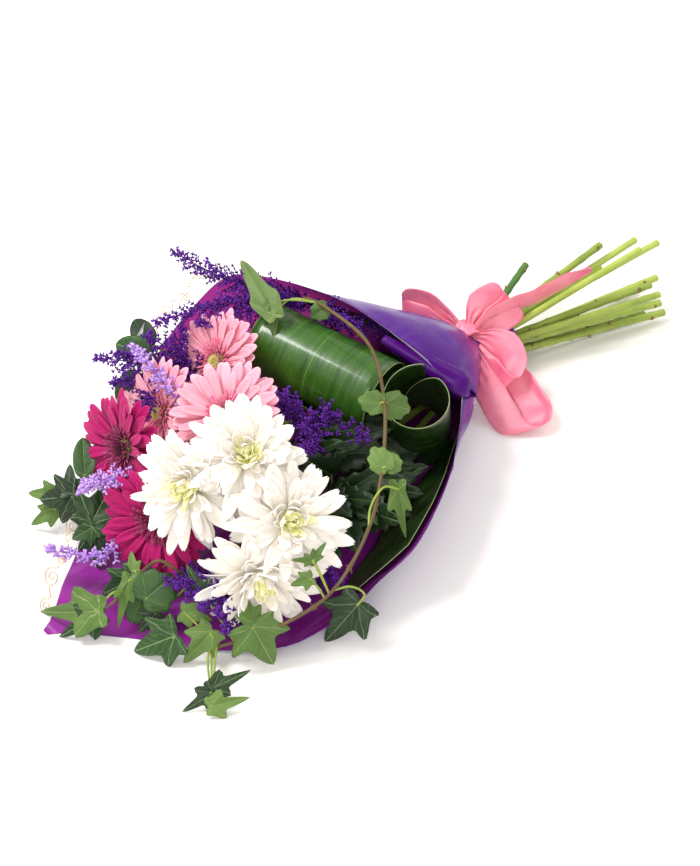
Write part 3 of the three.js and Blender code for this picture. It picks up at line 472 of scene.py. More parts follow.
def asPiece(name, verts, faces, uvs, tones):
    mesh = bpy.data.meshes.new(name)
    mesh.from_pydata([tuple(v) for v in verts], [], faces)
    mesh.uv_layers.new(name="UVMap").data.foreach_set("uv", np.asarray(uvs, float).ravel())
    mesh.attributes.new("tone", "FLOAT", "POINT").data.foreach_set("value", np.asarray(tones, float))
    mesh.shade_smooth()
    piece = bpy.data.objects.new(name, mesh)
    bpy.context.collection.objects.link(piece)
    return piece


def shapeOf(source):
    mesh = source.data
    points = np.empty(len(mesh.vertices) * 3)
    mesh.vertices.foreach_get("co", points)
    uvs = np.empty(len(mesh.loops) * 2)
    mesh.uv_layers.active.data.foreach_get("uv", uvs)
    return points.reshape(-1, 3), [tuple(p.vertices) for p in mesh.polygons], uvs


def manyOf(name, source, shapes, tones):
    # copies of one modelled shape, each with its own points, as one piece
    points, faces, uvs = shapeOf(source)
    count = len(points)
    allFaces = [tuple(i + k * count for i in face) for k in range(len(shapes)) for face in faces]
    return asPiece(name, np.concatenate(shapes), allFaces, np.tile(uvs, len(shapes)), np.repeat(tones, count))


def placed(points, matrix):
    turned = np.array(matrix)
    return points @ turned[:3, :3].T + turned[:3, 3]


def joined(name, pieces):
    only(pieces[0])
    for piece in pieces:
        piece.select_set(True)
    bpy.ops.object.join()
    pieces[0].name = pieces[0].data.name = name
    return pieces[0]


def across(columns):
    # even places from one edge, -1, to the other, 1
    return [2 * j / (columns - 1) - 1 for j in range(columns)]


def sheetOf(name, grid, thickness):
    # a thin closed sheet over a grid of points; the map runs along (u) and across (v)
    grid = np.asarray(grid)
    rows, columns = grid.shape[:2]
    corners = [i * columns + j for i in range(rows - 1) for j in range(columns - 1)]
    faces = [(k, k + columns, k + columns + 1, k + 1) for k in corners]
    uvs = [(i // columns / (rows - 1), i % columns / (columns - 1)) for face in faces for i in face]
    piece = asPiece(name, grid.reshape(-1, 3), faces, uvs, np.full(rows * columns, 0.5))
    return thickened(piece, thickness)


def lengthOf(route):
    return sum((b - a).length for a, b in zip(route, route[1:]))


def keepAbove(route, least):
    # lifts what would dip into the floor
    for place in route:
        place.z = max(place.z, least)
    return route


def eased(start, end, leave, arrive, w):
    # from one place to the next, with a given way at each
    second = start * -3 + end * 3 - leave * 2 - arrive
    third = start * 2 - end * 2 + leave + arrive
    return start + leave * w + second * w ** 2 + third * w ** 3


def smoothRoute(places, steps):
    # evenly timed points on a curve through the places
    p = [Vector(place) for place in places]
    p = [p[0] * 2 - p[1], *p, p[-1] * 2 - p[-2]]
    route = []
    for step in range(steps + 1):
        share = step / steps * (len(p) - 3)
        k = min(int(share), len(p) - 4)
        a, b, c, d = p[k:k + 4]
        first, middle, last = (b - a).length ** 0.5, (c - b).length ** 0.5, (d - c).length ** 0.5
        first, last = first or middle, last or middle
        leave = ((b - a) / first - (c - a) / (first + middle) + (c - b) / middle) * middle
        arrive = ((c - b) / middle - (d - b) / (middle + last) + (d - c) / last) * middle
        route.append(eased(b, c, leave, arrive, share - k))
    return route


def evenRoute(places, steps):
    # the same curve with even steps in length
    fine = smoothRoute(places, 40 * (len(places) - 1))
    reach = [0.0]
    for a, b in zip(fine, fine[1:]):
        reach.append(reach[-1] + (b - a).length)
    route, k = [], 0
    for step in range(steps + 1):
        wanted = reach[-1] * step / steps
        while k < len(reach) - 2 and reach[k + 1] < wanted:
            k += 1
        share = (wanted - reach[k]) / max(reach[k + 1] - reach[k], 1e-9)
        route.append(fine[k].lerp(fine[k + 1], min(1, share)))
    return route


def tubes(name, routes, radius, sides=2, widths=None):
    # rounds along routes, drawn as curves and made a mesh
    curve = bpy.data.curves.new(name, "CURVE")
    curve.dimensions = "3D"
    curve.bevel_depth = radius
    curve.bevel_resolution = sides
    curve.use_fill_caps = True
    for k, route in enumerate(routes):
        spline = curve.splines.new("POLY")
        spline.points.add(len(route) - 1)
        for i, place in enumerate(route):
            spline.points[i].co = (*place, 1)
            spline.points[i].radius = widths[k][i] if widths else 1
    piece = bpy.data.objects.new(name, curve)
    bpy.context.collection.objects.link(piece)
    only(piece)
    bpy.ops.object.convert(target="MESH")
    piece = bpy.context.object
    piece.data.shade_smooth()
    return piece


# the film: a sheet rolled round the stems that opens into a cone and lies flat underneath
film = {
    "thickness": 0.0005, "seat": 0.4, "parts": 5,
    "swells": {"deep": 2.6, "long": 34, "from": 150, "over": 160},  # of the open cone
    "pleats": {"deep": 1.6, "long": 60, "at": 130, "over": 70},  # round the tie
    "sections": [  # x, flat's two ends, reach of both arcs, rise, base, degrees round each way, layers' gap
        (176, -9, -7, 25, 25, 23, 2, 172, 222, 0.06), (163, -7, -7, 21.5, 21.5, 21.5, 4.1, 170, 225, 0.06),
        (150, -7, -7, 20.7, 20.7, 20.7, 4.9, 170, 228, 0.06),
        (137, -8, -8, 21.2, 21.2, 21.2, 4.4, 170, 232, 0.06),
        (112, -14, -12, 32, 30, 33, 1, 164, 256, 0.14), (85, -22, -18, 47, 45, 43, 0, 150, 264, 0.18),
        (60, -28, -16, 62, 60, 50, 0, 124, 256, 0.18), (35, -34, -10, 72, 70, 57, 0, 106, 232, 0.14),
        (12, -40, -2, 84, 78, 63, 0, 94, 198, 0.08), (-12, -50, 6, 94, 90, 72, 0, 84, 146, 0.04),
        (-47, -65, 14, 108, 104, 95, 0, 70, 110, 0), (-87, -92, 4, 105, 105, 100, 0, 60, 98, 0),
        (-125, -106, -2, 100, 100, 100, 0, 52, 90, 0), (-165, -127, -8, 90, 90, 100, 0, 40, 75, 0),
        (-208, -138, -4, 75, 75, 100, 0, 26, 54, 0), (-250, -118, 6, 55, 50, 90, 0, 14, 36, 0),
        (-292, -76, 2, 30, 30, 60, 0, 5, 12, 0), (-338, -35, -31, 3, 3, 60, 0, 2, 2, 0)],
    "steps": {"front": 26, "flat": 8, "back": 40},
}


def filmRow(section):
    x, flatFront, flatBack, reachFront, reachBack, rise, base, turnFront, turnBack, layers = section
    front, flat, back = (film["steps"][side] for side in ("front", "flat", "back"))
    low = base + film["seat"]

    def arc(angle, start, reach):
        grown = 1 + layers * max(angle, 0) / turnBack
        bend = math.radians(angle)
        return Vector((x, start + reach * grown * math.sin(bend), low + rise * (1 - grown * math.cos(bend))))

    row = [arc(-turnFront * k / front, flatFront, reachFront) for k in range(front, 0, -1)]
    row += [Vector((x, flatFront + (flatBack - flatFront) * k / flat, low)) for k in range(flat + 1)]
    row += [arc(turnBack * k / back, flatBack, reachBack) for k in range(1, back + 1)]
    return row


def filmRows():
    # curved from section to section, with x in even steps
    sections, parts = film["sections"], film["parts"]
    last = len(sections) - 1
    rows = []
    for k in range(last):
        near = [sections[min(max(k + i, 0), last)] for i in (-1, 0, 1, 2)]
        for part in range(parts + (k == last - 1)):
            w = part / parts
            blend = [eased(b, c, (c - a) / 2, (d - b) / 2, w) for a, b, c, d in zip(*near)]
            blend[0] = near[1][0] + (near[2][0] - near[1][0]) * w
            rows.append(filmRow(blend))
    return rows


def crumpled(row, j):
    # a point of a row pushed outwards, into soft swells at the cone and pleats at the tie
    place = row[j]
    side = row[min(j + 1, len(row) - 1)] - row[max(j - 1, 0)]
    outward = Vector((0, side.z, -side.y)).normalized()
    swells, pleats = film["swells"], film["pleats"]
    wide = min(1, max(0, (swells["from"] - place.x) / swells["over"]))
    tied = max(0, 1 - abs(place.x - pleats["at"]) / pleats["over"])
    swell = 0.5 + 0.5 * noise.noise(place / swells["long"])
    pleat = 0.5 + 0.5 * math.sin(j * 1.1 + 2 * noise.noise(place / pleats["long"]))
    moved = place + outward * (swells["deep"] * swell * wide + pleats["deep"] * pleat * tied)
    return at(moved.x, moved.y, max(moved.z, film["seat"]))


def buildFilm():
    lines = [[crumpled(row, j) for j in range(len(row))] for row in filmRows()]
    piece = wear(sheetOf("filmSheet", lines, film["thickness"]), "filmInside", "filmOutside")
    for face in piece.data.polygons:
        # what faces the middle of the cone or the roll is the film's inside
        middle = Vector((face.center.x, -0.02, 0.055 if face.center.x < 0.1 else 0.026))
        face.material_index = 0 if face.normal.dot(middle - face.center) > 0 else 1
    settle(piece, ["film_wrap"])
    return lines


filmLines = buildFilm()

# the clear margins of the film; the left one is printed with thin gold curls
border = {
    "thickness": 0.00012, "line": 0.00036, "turns": 1.8, "coil": 43, "closing": 50, "tail": 14,
    "lowest": 0.0006, "curlLowest": 0.0008,
    "margins": [  # which edge of the film, between which x, how broad, and a lean along the bouquet
        {"name": "Left", "end": -1, "from": -345, "to": -28, "breadth": 24, "lean": (-0.35, 0.8, -0.45)},
        {"name": "Flap", "end": -1, "from": -8, "to": 78, "breadth": 8, "lean": (0, 0, 0)},
        {"name": "Front", "end": 0, "from": -70, "to": 96, "breadth": 5, "lean": (0, 0, 0)}],
    "curls": [  # share of the margin's length, place over its breadth and size
        (0.05, 11, 6), (0.1, 16, 5), (0.17, 10, 5.5), (0.24, 15, 5), (0.33, 11, 5), (0.42, 14, 5),
        (0.52, 12, 5), (0.62, 12, 5), (0.7, 10, 5), (0.76, 13, 7), (0.83, 10, 6), (0.885, 13, 9),
        (0.95, 10, 6.5)],
}


def marginOf(plan):
    # the film's edge, with the way outwards at each of its points
    edge = []
    for line in filmLines:
        place, inner = (line[-1], line[-4]) if plan["end"] else (line[0], line[3])
        if at(plan["from"], 0, 0).x < place.x < at(plan["to"], 0, 0).x:
            edge.append((place, ((place - inner).normalized() + Vector(plan["lean"])).normalized()))
    return edge


def buildMargin(plan):
    grid = [keepAbove([edge + out * (plan["breadth"] * j / 6000) for j in range(7)], border["lowest"])
            for edge, out in marginOf(plan)]
    margin = wear(sheetOf(f"filmBorder{plan['name']}", grid, border["thickness"]), "clearFilm")
    settle(margin, ["film_wrap"])


def buildCurls(plan):
    edge = marginOf(plan)
    length = lengthOf([place for place, _ in edge]) * 1000

    def spot(share, breadth):
        k = min(max(share, 0), 0.999) * (len(edge) - 1)
        low = int(k)
        place, out = (a.lerp(b, k - low) for a, b in zip(edge[low], edge[low + 1]))
        place = place + out * (min(max(breadth, 1), plan["breadth"] - 1) / 1000)
        return Vector((place.x, place.y, max(place.z, border["curlLowest"])))

    routes = []
    for share, breadth, size in border["curls"]:
        hand = chance.choice((-1, 1))
        coil = []
        for k in range(border["coil"] + 1):
            turn = k / border["coil"] * border["turns"] * 2 * math.pi
            radius = size * (1 - k / border["closing"])
            along = share + hand * radius * math.cos(turn) / length
            coil.append(spot(along, breadth + radius * math.sin(turn)))
        tail = [spot(share + hand * (size + k * 0.9) / length, breadth + hand * 2.2 * math.sin(k * 0.5))
                for k in range(border["tail"])]
        routes += [coil, tail]
    settle(wear(tubes("filmCurls", routes, border["line"], 0), "goldInk"), ["film_wrap"])


# the loose corner of the film, rolled up along the cone's front edge and closed at its end
foldedRoll = {"from": (10, -31, 118), "to": (55, -96, 75), "radii": (3, 13.5), "turn": 310, "steps": 28,
              "around": 24, "loosened": 0.12, "ruffle": 0.004}


def buildRoll():
    start, end = at(*foldedRoll["from"]), at(*foldedRoll["to"])
    around, (thin, thick) = foldedRoll["around"], foldedRoll["radii"]
    axis = (end - start).normalized()
    side = axis.orthogonal().normalized()
    grid = []
    for i in range(foldedRoll["steps"] + 1):
        share = i / foldedRoll["steps"]
        closing = max(0.02, 1 - max(0, share * 4 - 3) ** 2) ** 0.5
        radius = (thin + (thick - thin) * share ** 0.8) * closing / 1000
        line = []
        for j in range(around + 1):
            out = spun(side, math.radians(foldedRoll["turn"] * j / around), axis)
            ruffle = axis * (foldedRoll["ruffle"] * share * math.sin(j / 4))
            reach = radius * (1 + foldedRoll["loosened"] * j / around)
            line.append(start.lerp(end, share) + out * reach + ruffle)
        grid.append(line)
    roll = wear(sheetOf("filmRoll", grid, film["thickness"]), "filmFold")
    settle(roll, ["film_wrap"])


buildRoll()
for plan in border["margins"]:
    buildMargin(plan)
buildCurls(border["margins"][0])
print("film made")

# satin ribbon: loops, a tail, a knot and the band round the film
ribbon = {
    "width": 29, "thickness": 0.0005,
    "pleats": 0.0032, "belly": 0.0022, "soft": 0.0011,  # how deep its gathers, its curve and its waves are
    "strips": [  # points that it runs through, the way of its width, and the ends where it is gathered
        ([(132, -4, 52), (127, 13, 61), (118, 30, 69), (104, 43, 71), (101, 45, 62), (114, 25, 56),
          (128, -2, 50)], (0.01, 0.17, 0.98), (0, 1)),
        ([(133, -7, 54), (146, -1, 63), (166, -1, 71), (180, -7, 73), (181, -15, 65), (160, -16, 58),
          (133, -12, 52)], (-0.34, 0.67, 0.66), (0, 1)),
        ([(131, -11, 52), (142, -25, 54), (148, -45, 47), (141, -62, 35), (126, -66, 27), (124, -48, 33),
          (131, -15, 47)], (0.66, -0.27, 0.7), (0, 1)),
        ([(129, -14, 50), (119, -37, 38), (113, -63, 23), (109, -88, 10), (112, -101, 6.2), (127, -104, 6.8),
          (140, -93, 11), (143, -73, 21), (144, -47, 34), (134, -16, 48)], (0.66, -0.64, 0.39), (0, 1)),
        ([(133, -11, 53), (156, -12, 61), (180, -17, 65), (207, -22, 66), (240, -23, 67), (274, -24, 68)],
         (-0.32, -0.3, 0.9), (0, 1.02))],
    "rings": [  # each is wound once round a centre, with its width along one way
        {"name": "ribbonBand", "centre": (150, -7, 26), "along": (1, 0, 0), "up": (0, 0, 1),
         "radii": (0.0247, 0.0247), "width": 0.022, "pleat": 0.0006, "pinch": 0},
        {"name": "ribbonKnot", "centre": (134, -8, 53), "along": (0.25, 0.95, 0.1), "up": (0.2, 0, 1),
         "radii": (0.0105, 0.0066), "width": 0.02, "pleat": 0.0008, "pinch": 0.16}],
}


def ribbonStrip(name, through, way, gathered, columns=13, steps=64):
    route = evenRoute([at(*p) for p in through], steps)
    side = Vector(way).normalized()
    grid = []
    for k, middle in enumerate(route):
        share = k / steps
        opened = min(1, min(0.2 + 3.4 * abs(share - end) for end in gathered))
        ahead = (route[min(k + 1, steps)] - route[max(k - 1, 0)]).normalized()
        normal = side.cross(ahead).normalized()
        half = ribbon["width"] / 2000 * opened
        line = []
        for offset in across(columns):
            pleats = ribbon["pleats"] * (1 - opened) * math.cos(offset * 3.2 * math.pi)
            belly = ribbon["belly"] * opened * (offset ** 2 - 0.4)
            soft = ribbon["soft"] * opened * noise.noise(Vector((share * 7, offset * 1.3, len(through))))
            line.append(middle + side * (offset * half) + normal * (pleats + belly + soft))
        grid.append(line)
    return sheetOf(name, grid, ribbon["thickness"]), lengthOf(route)


def ribbonRing(ring, columns=11, steps=56):
    centre, (wide, high) = at(*ring["centre"]), ring["radii"]
    axis, rise = Vector(ring["along"]).normalized(), Vector(ring["up"]).normalized()
    side = axis.cross(rise).normalized()
    grid = []
    for k in range(steps + 1):
        turn = 2 * math.pi * k / steps
        line = []
        for offset in across(columns):
            pleat = ring["pleat"] * math.cos(offset * 2.5 * math.pi + math.sin(turn * 2))
            bulge = 1 - ring["pinch"] * offset ** 2
            out = rise * ((high * bulge + pleat) * math.cos(turn))
            out += side * ((wide * bulge + pleat) * math.sin(turn))
            line.append(centre + out + axis * (offset * ring["width"] / 2))
        grid.append(line)
    return sheetOf(ring["name"], grid, ribbon["thickness"]), math.pi * (wide + high)


def buildRibbon():
    made = [ribbonStrip(f"ribbonStrip{k}", *strip) for k, strip in enumerate(ribbon["strips"])]
    made += [ribbonRing(ring) for ring in ribbon["rings"]]
    bow = wear(joined("ribbonBow", [piece for piece, _ in made]), "satin")
    settle(bow, ["ribbon_bow"])


buildRibbon()
print("ribbon made")

# stems: from the flowers through the binding to their cut ends
bundle = {
    "tie": (150, -7, 26), "pitch": 7.6, "rise": 7.6 * 0.87, "half": 8,
    "slots": {  # places across and up in the tie, counted in pitches
        "topFar": (0.5, 2), "topNear": (-0.5, 2), "highFar": (1.5, 1), "highMidFar": (0.5, 1),
        "highMidNear": (-0.5, 1), "highNear": (-1.6, 1), "midFar": (1, 0), "middle": (0, 0),
        "midNear": (-1, 0), "lowFar": (1.5, -1), "lowMidFar": (0.5, -1), "lowMidNear": (-0.5, -1),
        "lowNear": (-1.58, -1), "bottomFar": (0.5, -2), "bottomNear": (-0.5, -2)},
}


def boundPoint(slot, x):
    aside, up = bundle["slots"][slot]
    return at(x, bundle["tie"][1] + aside * bundle["pitch"], bundle["tie"][2] + up * bundle["rise"])


def behind(bloom, distance):
    return at(*bloom["at"]) - heading(*bloom["facing"]) * (distance / 1000)


def stemRoute(head, slot, cut, steps=40):
    # curved as far as the tie, then straight to the cut end
    tieX = bundle["tie"][0]
    bent = smoothRoute([*head[1:], boundPoint(slot, tieX - bundle["half"])], steps)
    last, end = boundPoint(slot, tieX + bundle["half"]), at(*cut)
    return [head[0], *bent, *(last.lerp(end, k / 24) for k in range(25))]


stemForm = {
    "radius": 3.4, "cutEnd": 1.05, "knuckle": 1.13, "knuckleStep": 3.4,
    "necks": {"gerbera": (9, 26), "chrysanthemum": (12, 30)},  # from a bloom's middle back to the first bends
    "knuckles": {"gerbera": 0, "chrysanthemum": 7, "goldenrod": 6, "lilac": 2},
}
scars = []  # (place, outward, along) of each leaf scar on the stems


def addKnuckles(route, widths, count):
    # thicker places near the cut end, each with a leaf scar
    step = stemForm["knuckleStep"]
    spots = [len(route) - 2 - round(step * k) - chance.randint(0, 1) for k in range(count)]
    for k, spot in enumerate(spots):
        spot = max(spot, 3)
        widths[spot] *= stemForm["knuckle"]
        along = (route[spot + 1] - route[spot - 1]).normalized()
        start = along.cross(Vector((0.1, 0.3, 1))).normalized()
        out = spun(start, 2.4 * k + vary(0.4), along)
        scars.append((route[spot] + out * (stemForm["radius"] * 0.00103), out, along))


def buildStem(node, routes, look):
    widths = [[1 + 0.05 * noise.noise(place * 60) - 0.02 for place in route] for route in routes]
    addKnuckles(routes[0], widths[0], stemForm["knuckles"][node.split("_")[0]])
    widths[0][-1] *= stemForm["cutEnd"]
    piece = wear(tubes(pieceName(node), routes, stemForm["radius"] / 1000, 4, widths), look, "cutEnd")
    for face in piece.data.polygons:
        face.material_index = 1 if len(face.vertices) > 4 else 0
    settle(piece, [node])


gerberas = {
    "pink_a": {"look": "pink", "at": (-103, 52, 100), "facing": (-176, 34), "slot": "highMidFar",
               "cut": (370, 5, 45), "via": [(-66, 44, 62), (-20, 26, 46.5)]},
    "pink_b": {"look": "pink", "at": (-168, 44, 84), "facing": (-184, 26), "slot": "midFar",
               "cut": (394, -4, 36), "via": [(-110, 36, 52), (-40, 20, 34)]},
    "pink_c": {"look": "pink", "at": (-146, -20, 109), "facing": (-150, 50), "slot": "highMidNear",
               "cut": (343, -24, 60), "via": [(-112, 2, 68), (-60, 0, 44), (0, -4, 40)]},
    "magenta_a": {"look": "magenta", "at": (-219, 22, 88), "facing": (-178, 22), "slot": "lowFar",
                  "cut": (328, 10, 28), "via": [(-150, 16, 52), (-60, 12, 24)]},
    "magenta_b": {"look": "magenta", "at": (-230, -38, 58), "facing": (-150, 24), "slot": "bottomFar",
                  "cut": (349, -16, 8), "via": [(-160, -18, 30), (-60, -8, 12)]},
}
chrysanthemums = {
    "a": {"at": (-173, -83.3, 124), "facing": (-125, 55)},
    "b": {"at": (-213, -60, 98), "facing": (-150, 36)},
    "c": {"at": (-173, -135, 92), "facing": (-112, 44)},
    "d": {"at": (-205, -137, 54), "facing": (-118, 8)},
}
chrysanthemumStems = {  # a leaf is its stalk's end, its tip and how broad it is
    "a": {
        "slot": "middle", "cut": (337, -47, 34), "via": [(-90, -34, 40), (-20, -18, 26)], "blooms": "ab",
        "leaves": [((-104, -46, 52), (-84, -72, 92), 0.75), ((-96, -40, 46), (-112, -84, 92), 0.8),
                   ((-80, -30, 38), (-50, -62, 80), 0.8), ((-60, -28, 36), (-40, -84, 66), 0.7),
                   ((-110, -50, 60), (-92, -92, 88), 0.8), ((-40, -22, 32), (-14, -60, 56), 0.7),
                   ((-70, -40, 50), (-48, -90, 84), 0.9), ((-56, -30, 44), (-26, -72, 74), 0.9),
                   ((-90, -50, 64), (-76, -96, 96), 0.9), ((-84, -60, 60), (-62, -110, 84), 0.9)]},
    "b": {
        "slot": "lowNear", "cut": (341, -64, 9), "via": [(-90, -84, 34), (-10, -44, 20)], "blooms": "cd",
        "leaves": [((-66, -78, 50), (-76, -118, 62), 0.8), ((-40, -66, 44), (-66, -98, 70), 0.8),
                   ((-92, -90, 40), (-112, -134, 78), 0.7), ((-100, -92, 40), (-88, -132, 88), 0.6),
                   ((-80, -82, 34), (-50, -112, 64), 0.7), ((-110, -96, 40), (-136, -138, 60), 0.7),
                   ((-70, -84, 44), (-74, -132, 76), 0.9), ((-84, -96, 50), (-106, -142, 72), 0.9),
                   ((-56, -78, 40), (-40, -118, 60), 0.9), ((-44, -70, 36), (-14, -106, 58), 0.9),
                   ((-96, -100, 44), (-94, -150, 60), 0.9), ((-62, -84, 30), (-66, -136, 44), 0.9),
                   ((-90, -84, 58), (-120, -106, 96), 1.1), ((-60, -90, 34), (-34, -126, 60), 1.1),
                   ((-100, -108, 40), (-128, -150, 66), 1.1), ((-84, -108, 36), (-94, -152, 62), 1.2),
                   ((-108, -104, 58), (-128, -134, 84), 1.0), ((-64, -92, 38), (-60, -142, 62), 1.1)]},
}


def leaf(base, tip, broad=1.0, look="ivyLeaf", form="ivy", **more):
    # from the stalk's end to the tip; more may give start, via, roll, fold, droop and wave
    return {"base": base, "tip": tip, "broad": broad, "look": look, "form": form, "start": base, "via": [],
            "roll": 0, "fold": 0.22, "droop": 0.25, "wave": 0.055, **more}


def stalkLeaf(base, tip, broad, look="shadeLeaf", form="toothed", **more):
    # a leaf on a flower's stem, folded and drooped more, by default in shadeLeaf, a darker copy painted with
    # shade
    return leaf(base, tip, broad, look, form, fold=0.3, droop=0.4, wave=0.05, **more)


sprayStems = {
    "goldenrod_a": {
        "slot": "topFar", "cut": (322, 8, 58), "look": "greenStem",
        "stem": [(12, 52, 104), (44, 36, 82), (90, 14, 56)],
        "plumes": [[(-28, 78, 126), (-56, 102, 138), (-75, 148, 150)],
                   [(-32, 74, 124), (-80, 84, 130), (-132, 96, 130)],
                   [(-10, 62, 115), (-32, 76, 122), (-54, 68, 138)],
                   [(-2, 34, 114), (-4, 10, 124), (2, -12, 120)],
                   [(-30, 66, 120), (-66, 62, 128), (-104, 76, 126)],
                   [(6, 30, 104), (20, 2, 108), (34, -18, 104)]]},
    "goldenrod_b": {
        "slot": "highFar", "cut": (256, 42, 46), "look": "darkStem",
        "stem": [(-96, 62, 66), (-40, 52, 50), (60, 24, 40)],
        "plumes": [[(-118, 70, 84), (-150, 88, 100), (-180, 118, 104)],
                   [(-120, 66, 92), (-130, 80, 110), (-138, 104, 116)],
                   [(-122, 64, 76), (-160, 62, 92), (-196, 26, 104)],
                   [(-126, 72, 80), (-160, 84, 92), (-186, 84, 100)],
                   [(-112, 72, 88), (-120, 82, 104), (-112, 84, 122)],
                   [(-120, 62, 74), (-156, 66, 82), (-182, 54, 94)],
                   [(-118, 68, 86), (-142, 92, 96), (-164, 108, 108)]],
        "leaves": [
            stalkLeaf((-138, 99, 98), (-158, 122, 106), 1.5, "roundLeaf", "oval", start=(-120, 72, 80)),
            stalkLeaf((-134, 104, 104), (-136, 126, 120), 1.5, "shadeLeaf", "oval", start=(-120, 72, 84)),
            stalkLeaf((-156, 88, 90), (-182, 86, 80), 1.7, "roundLeaf", "oval", start=(-122, 70, 76))]},
    "goldenrod_c": {
        "slot": "midNear", "cut": (331, -66, 26), "look": "greenStem",
        "stem": [(-66, -42, 57), (-10, -31, 35), (60, -18, 30)],
        "plumes": [[(-84, -34, 80), (-94, -28, 96), (-112, -14, 116)],
                   [(-82, -46, 78), (-92, -56, 92), (-108, -72, 108)],
                   [(-72, -54, 72), (-66, -70, 82), (-62, -96, 90)],
                   [(-80, -38, 82), (-90, -34, 100), (-101, -36, 118)],
                   [(-80, -56, 76), (-98, -72, 90), (-122, -88, 104)],
                   [(-72, -46, 74), (-68, -52, 88), (-76, -60, 102)]]},
    "goldenrod_d": {
        "slot": "bottomNear", "cut": (330, -50, 4), "look": "greenStem",
        "stem": [(-140, -104, 19), (-60, -80, 12), (40, -44, 9)],
        "plumes": [[(-150, -120, 22), (-150, -146, 32), (-152, -168, 42)],
                   [(-180, -108, 24), (-212, -104, 32), (-240, -78, 36)],
                   [(-186, -114, 26), (-222, -120, 38), (-244, -134, 40)],
                   [(-198, -112, 28), (-226, -112, 38), (-256, -112, 48)],
                   [(-194, -116, 26), (-224, -130, 34), (-248, -150, 34)],
                   [(-192, -106, 26), (-224, -92, 36), (-258, -88, 46)],
                   [(-204, -116, 28), (-232, -122, 44), (-254, -128, 46)],
                   [(-206, -118, 28), (-228, -132, 40), (-246, -140, 46)],
                   [(-200, -112, 28), (-232, -104, 44), (-256, -100, 52)]]},
    "lilac_a": {
        "slot": "lowMidFar", "cut": (369, -28, 18), "look": "paleStem",
        "stem": [(-140, 8, 88), (-110, 8, 60), (-40, 4, 30)],
        "plumes": [[(-158, 14, 104), (-164, 40, 118), (-163, 84, 128)]]},
    "lilac_b": {
        "slot": "lowMidNear", "cut": (352, -47, 16), "look": "paleStem",
        "stem": [(-210, -16, 62), (-150, -30, 34), (-60, -28, 15)],
        "plumes": [[(-228, -10, 74), (-240, -2, 84), (-266, 16, 74)],
                   [(-228, -2, 44), (-268, -22, 34), (-302, 18, 30)],
                   [(-222, -10, 72), (-236, 4, 78), (-256, 30, 66)]]},
}


def pieceName(node):
    first, *rest = node.split("_")
    return first + "".join(word.capitalize() for word in rest)


def buildStems():
    near, far = stemForm["necks"]["gerbera"]
    for name, bloom in gerberas.items():
        head = [behind(bloom, near), behind(bloom, far), *(at(*p) for p in bloom["via"])]
        buildStem(f"gerbera_{name}_stem", [stemRoute(head, bloom["slot"], bloom["cut"])], "paleStem")
    near, far = stemForm["necks"]["chrysanthemum"]
    for name, plan in chrysanthemumStems.items():
        main, side = (chrysanthemums[key] for key in plan["blooms"])
        via = [at(*p) for p in plan["via"]]
        route = stemRoute([behind(main, near), behind(main, far), *via], plan["slot"], plan["cut"])
        branch = [behind(side, near), *smoothRoute([behind(side, far), via[0]], 8)]
        buildStem(f"chrysanthemum_stem_{name}", [route, branch], "greenStem")
    for name, plan in sprayStems.items():
        route = stemRoute([at(*p) for p in plan["stem"]], plan["slot"], plan["cut"])
        buildStem(f"{name}_stem", [route], plan["look"])


def buildScars():
    # one torn leaf scar: a low collar with a ragged stub, copied to every knuckle
    bpy.ops.mesh.primitive_uv_sphere_add(segments=8, ring_count=5, radius=0.0016)
    scar = bpy.context.object
    bpy.ops.object.mode_set(mode="EDIT")
    bpy.ops.mesh.select_all(action="SELECT")
    bpy.ops.transform.resize(value=(1.0, 1.5, 0.55))
    bpy.ops.mesh.select_all(action="DESELECT")
    bpy.ops.object.mode_set(mode="OBJECT")
    max(scar.data.polygons, key=lambda face: face.center.z).select = True
    bpy.ops.object.mode_set(mode="EDIT")
    bpy.ops.mesh.extrude_region_move(TRANSFORM_OT_translate={"value": (0.0006, 0.0003, 0.0016)})
    bpy.ops.object.mode_set(mode="OBJECT")
    points = shapeOf(scar)[0]
    shapes = [placed(points * chance.uniform(0.8, 1.25), framed(place, along, out.cross(along), out))
              for place, out, along in scars]
    piece = wear(manyOf("stemScars", scar, shapes, [chance.random() for _ in shapes]), "scar")
    bpy.data.objects.remove(scar)
    settle(piece, ["chrysanthemum_stem_a", "chrysanthemum_stem_b", "goldenrod_a_stem", "goldenrod_c_stem",
                   "goldenrod_d_stem"])


buildStems()
buildScars()
print("stems made")


# petals: one flat blade is modelled for each kind, and every copy is bent on its own
bladeOutlines = {  # (place along, breadth) from base to tip, for a blade one long and one broad
    "gerbera": [(0, 0.3), (0.14, 0.48), (0.32, 0.74), (0.52, 0.94), (0.7, 1.0), (0.83, 0.9), (0.92, 0.66),
                (0.98, 0.36), (1, 0.1)],
    "frill": [(0, 0.5), (0.35, 0.8), (0.7, 1.0), (0.9, 0.6), (1, 0.15)],
    "white": [(0, 0.34), (0.16, 0.56), (0.34, 0.82), (0.52, 0.99), (0.68, 0.98), (0.82, 0.83), (0.93, 0.55),
              (1, 0.2)],
}
parkedAt = 2  # rows of a blade that are done wait this far along


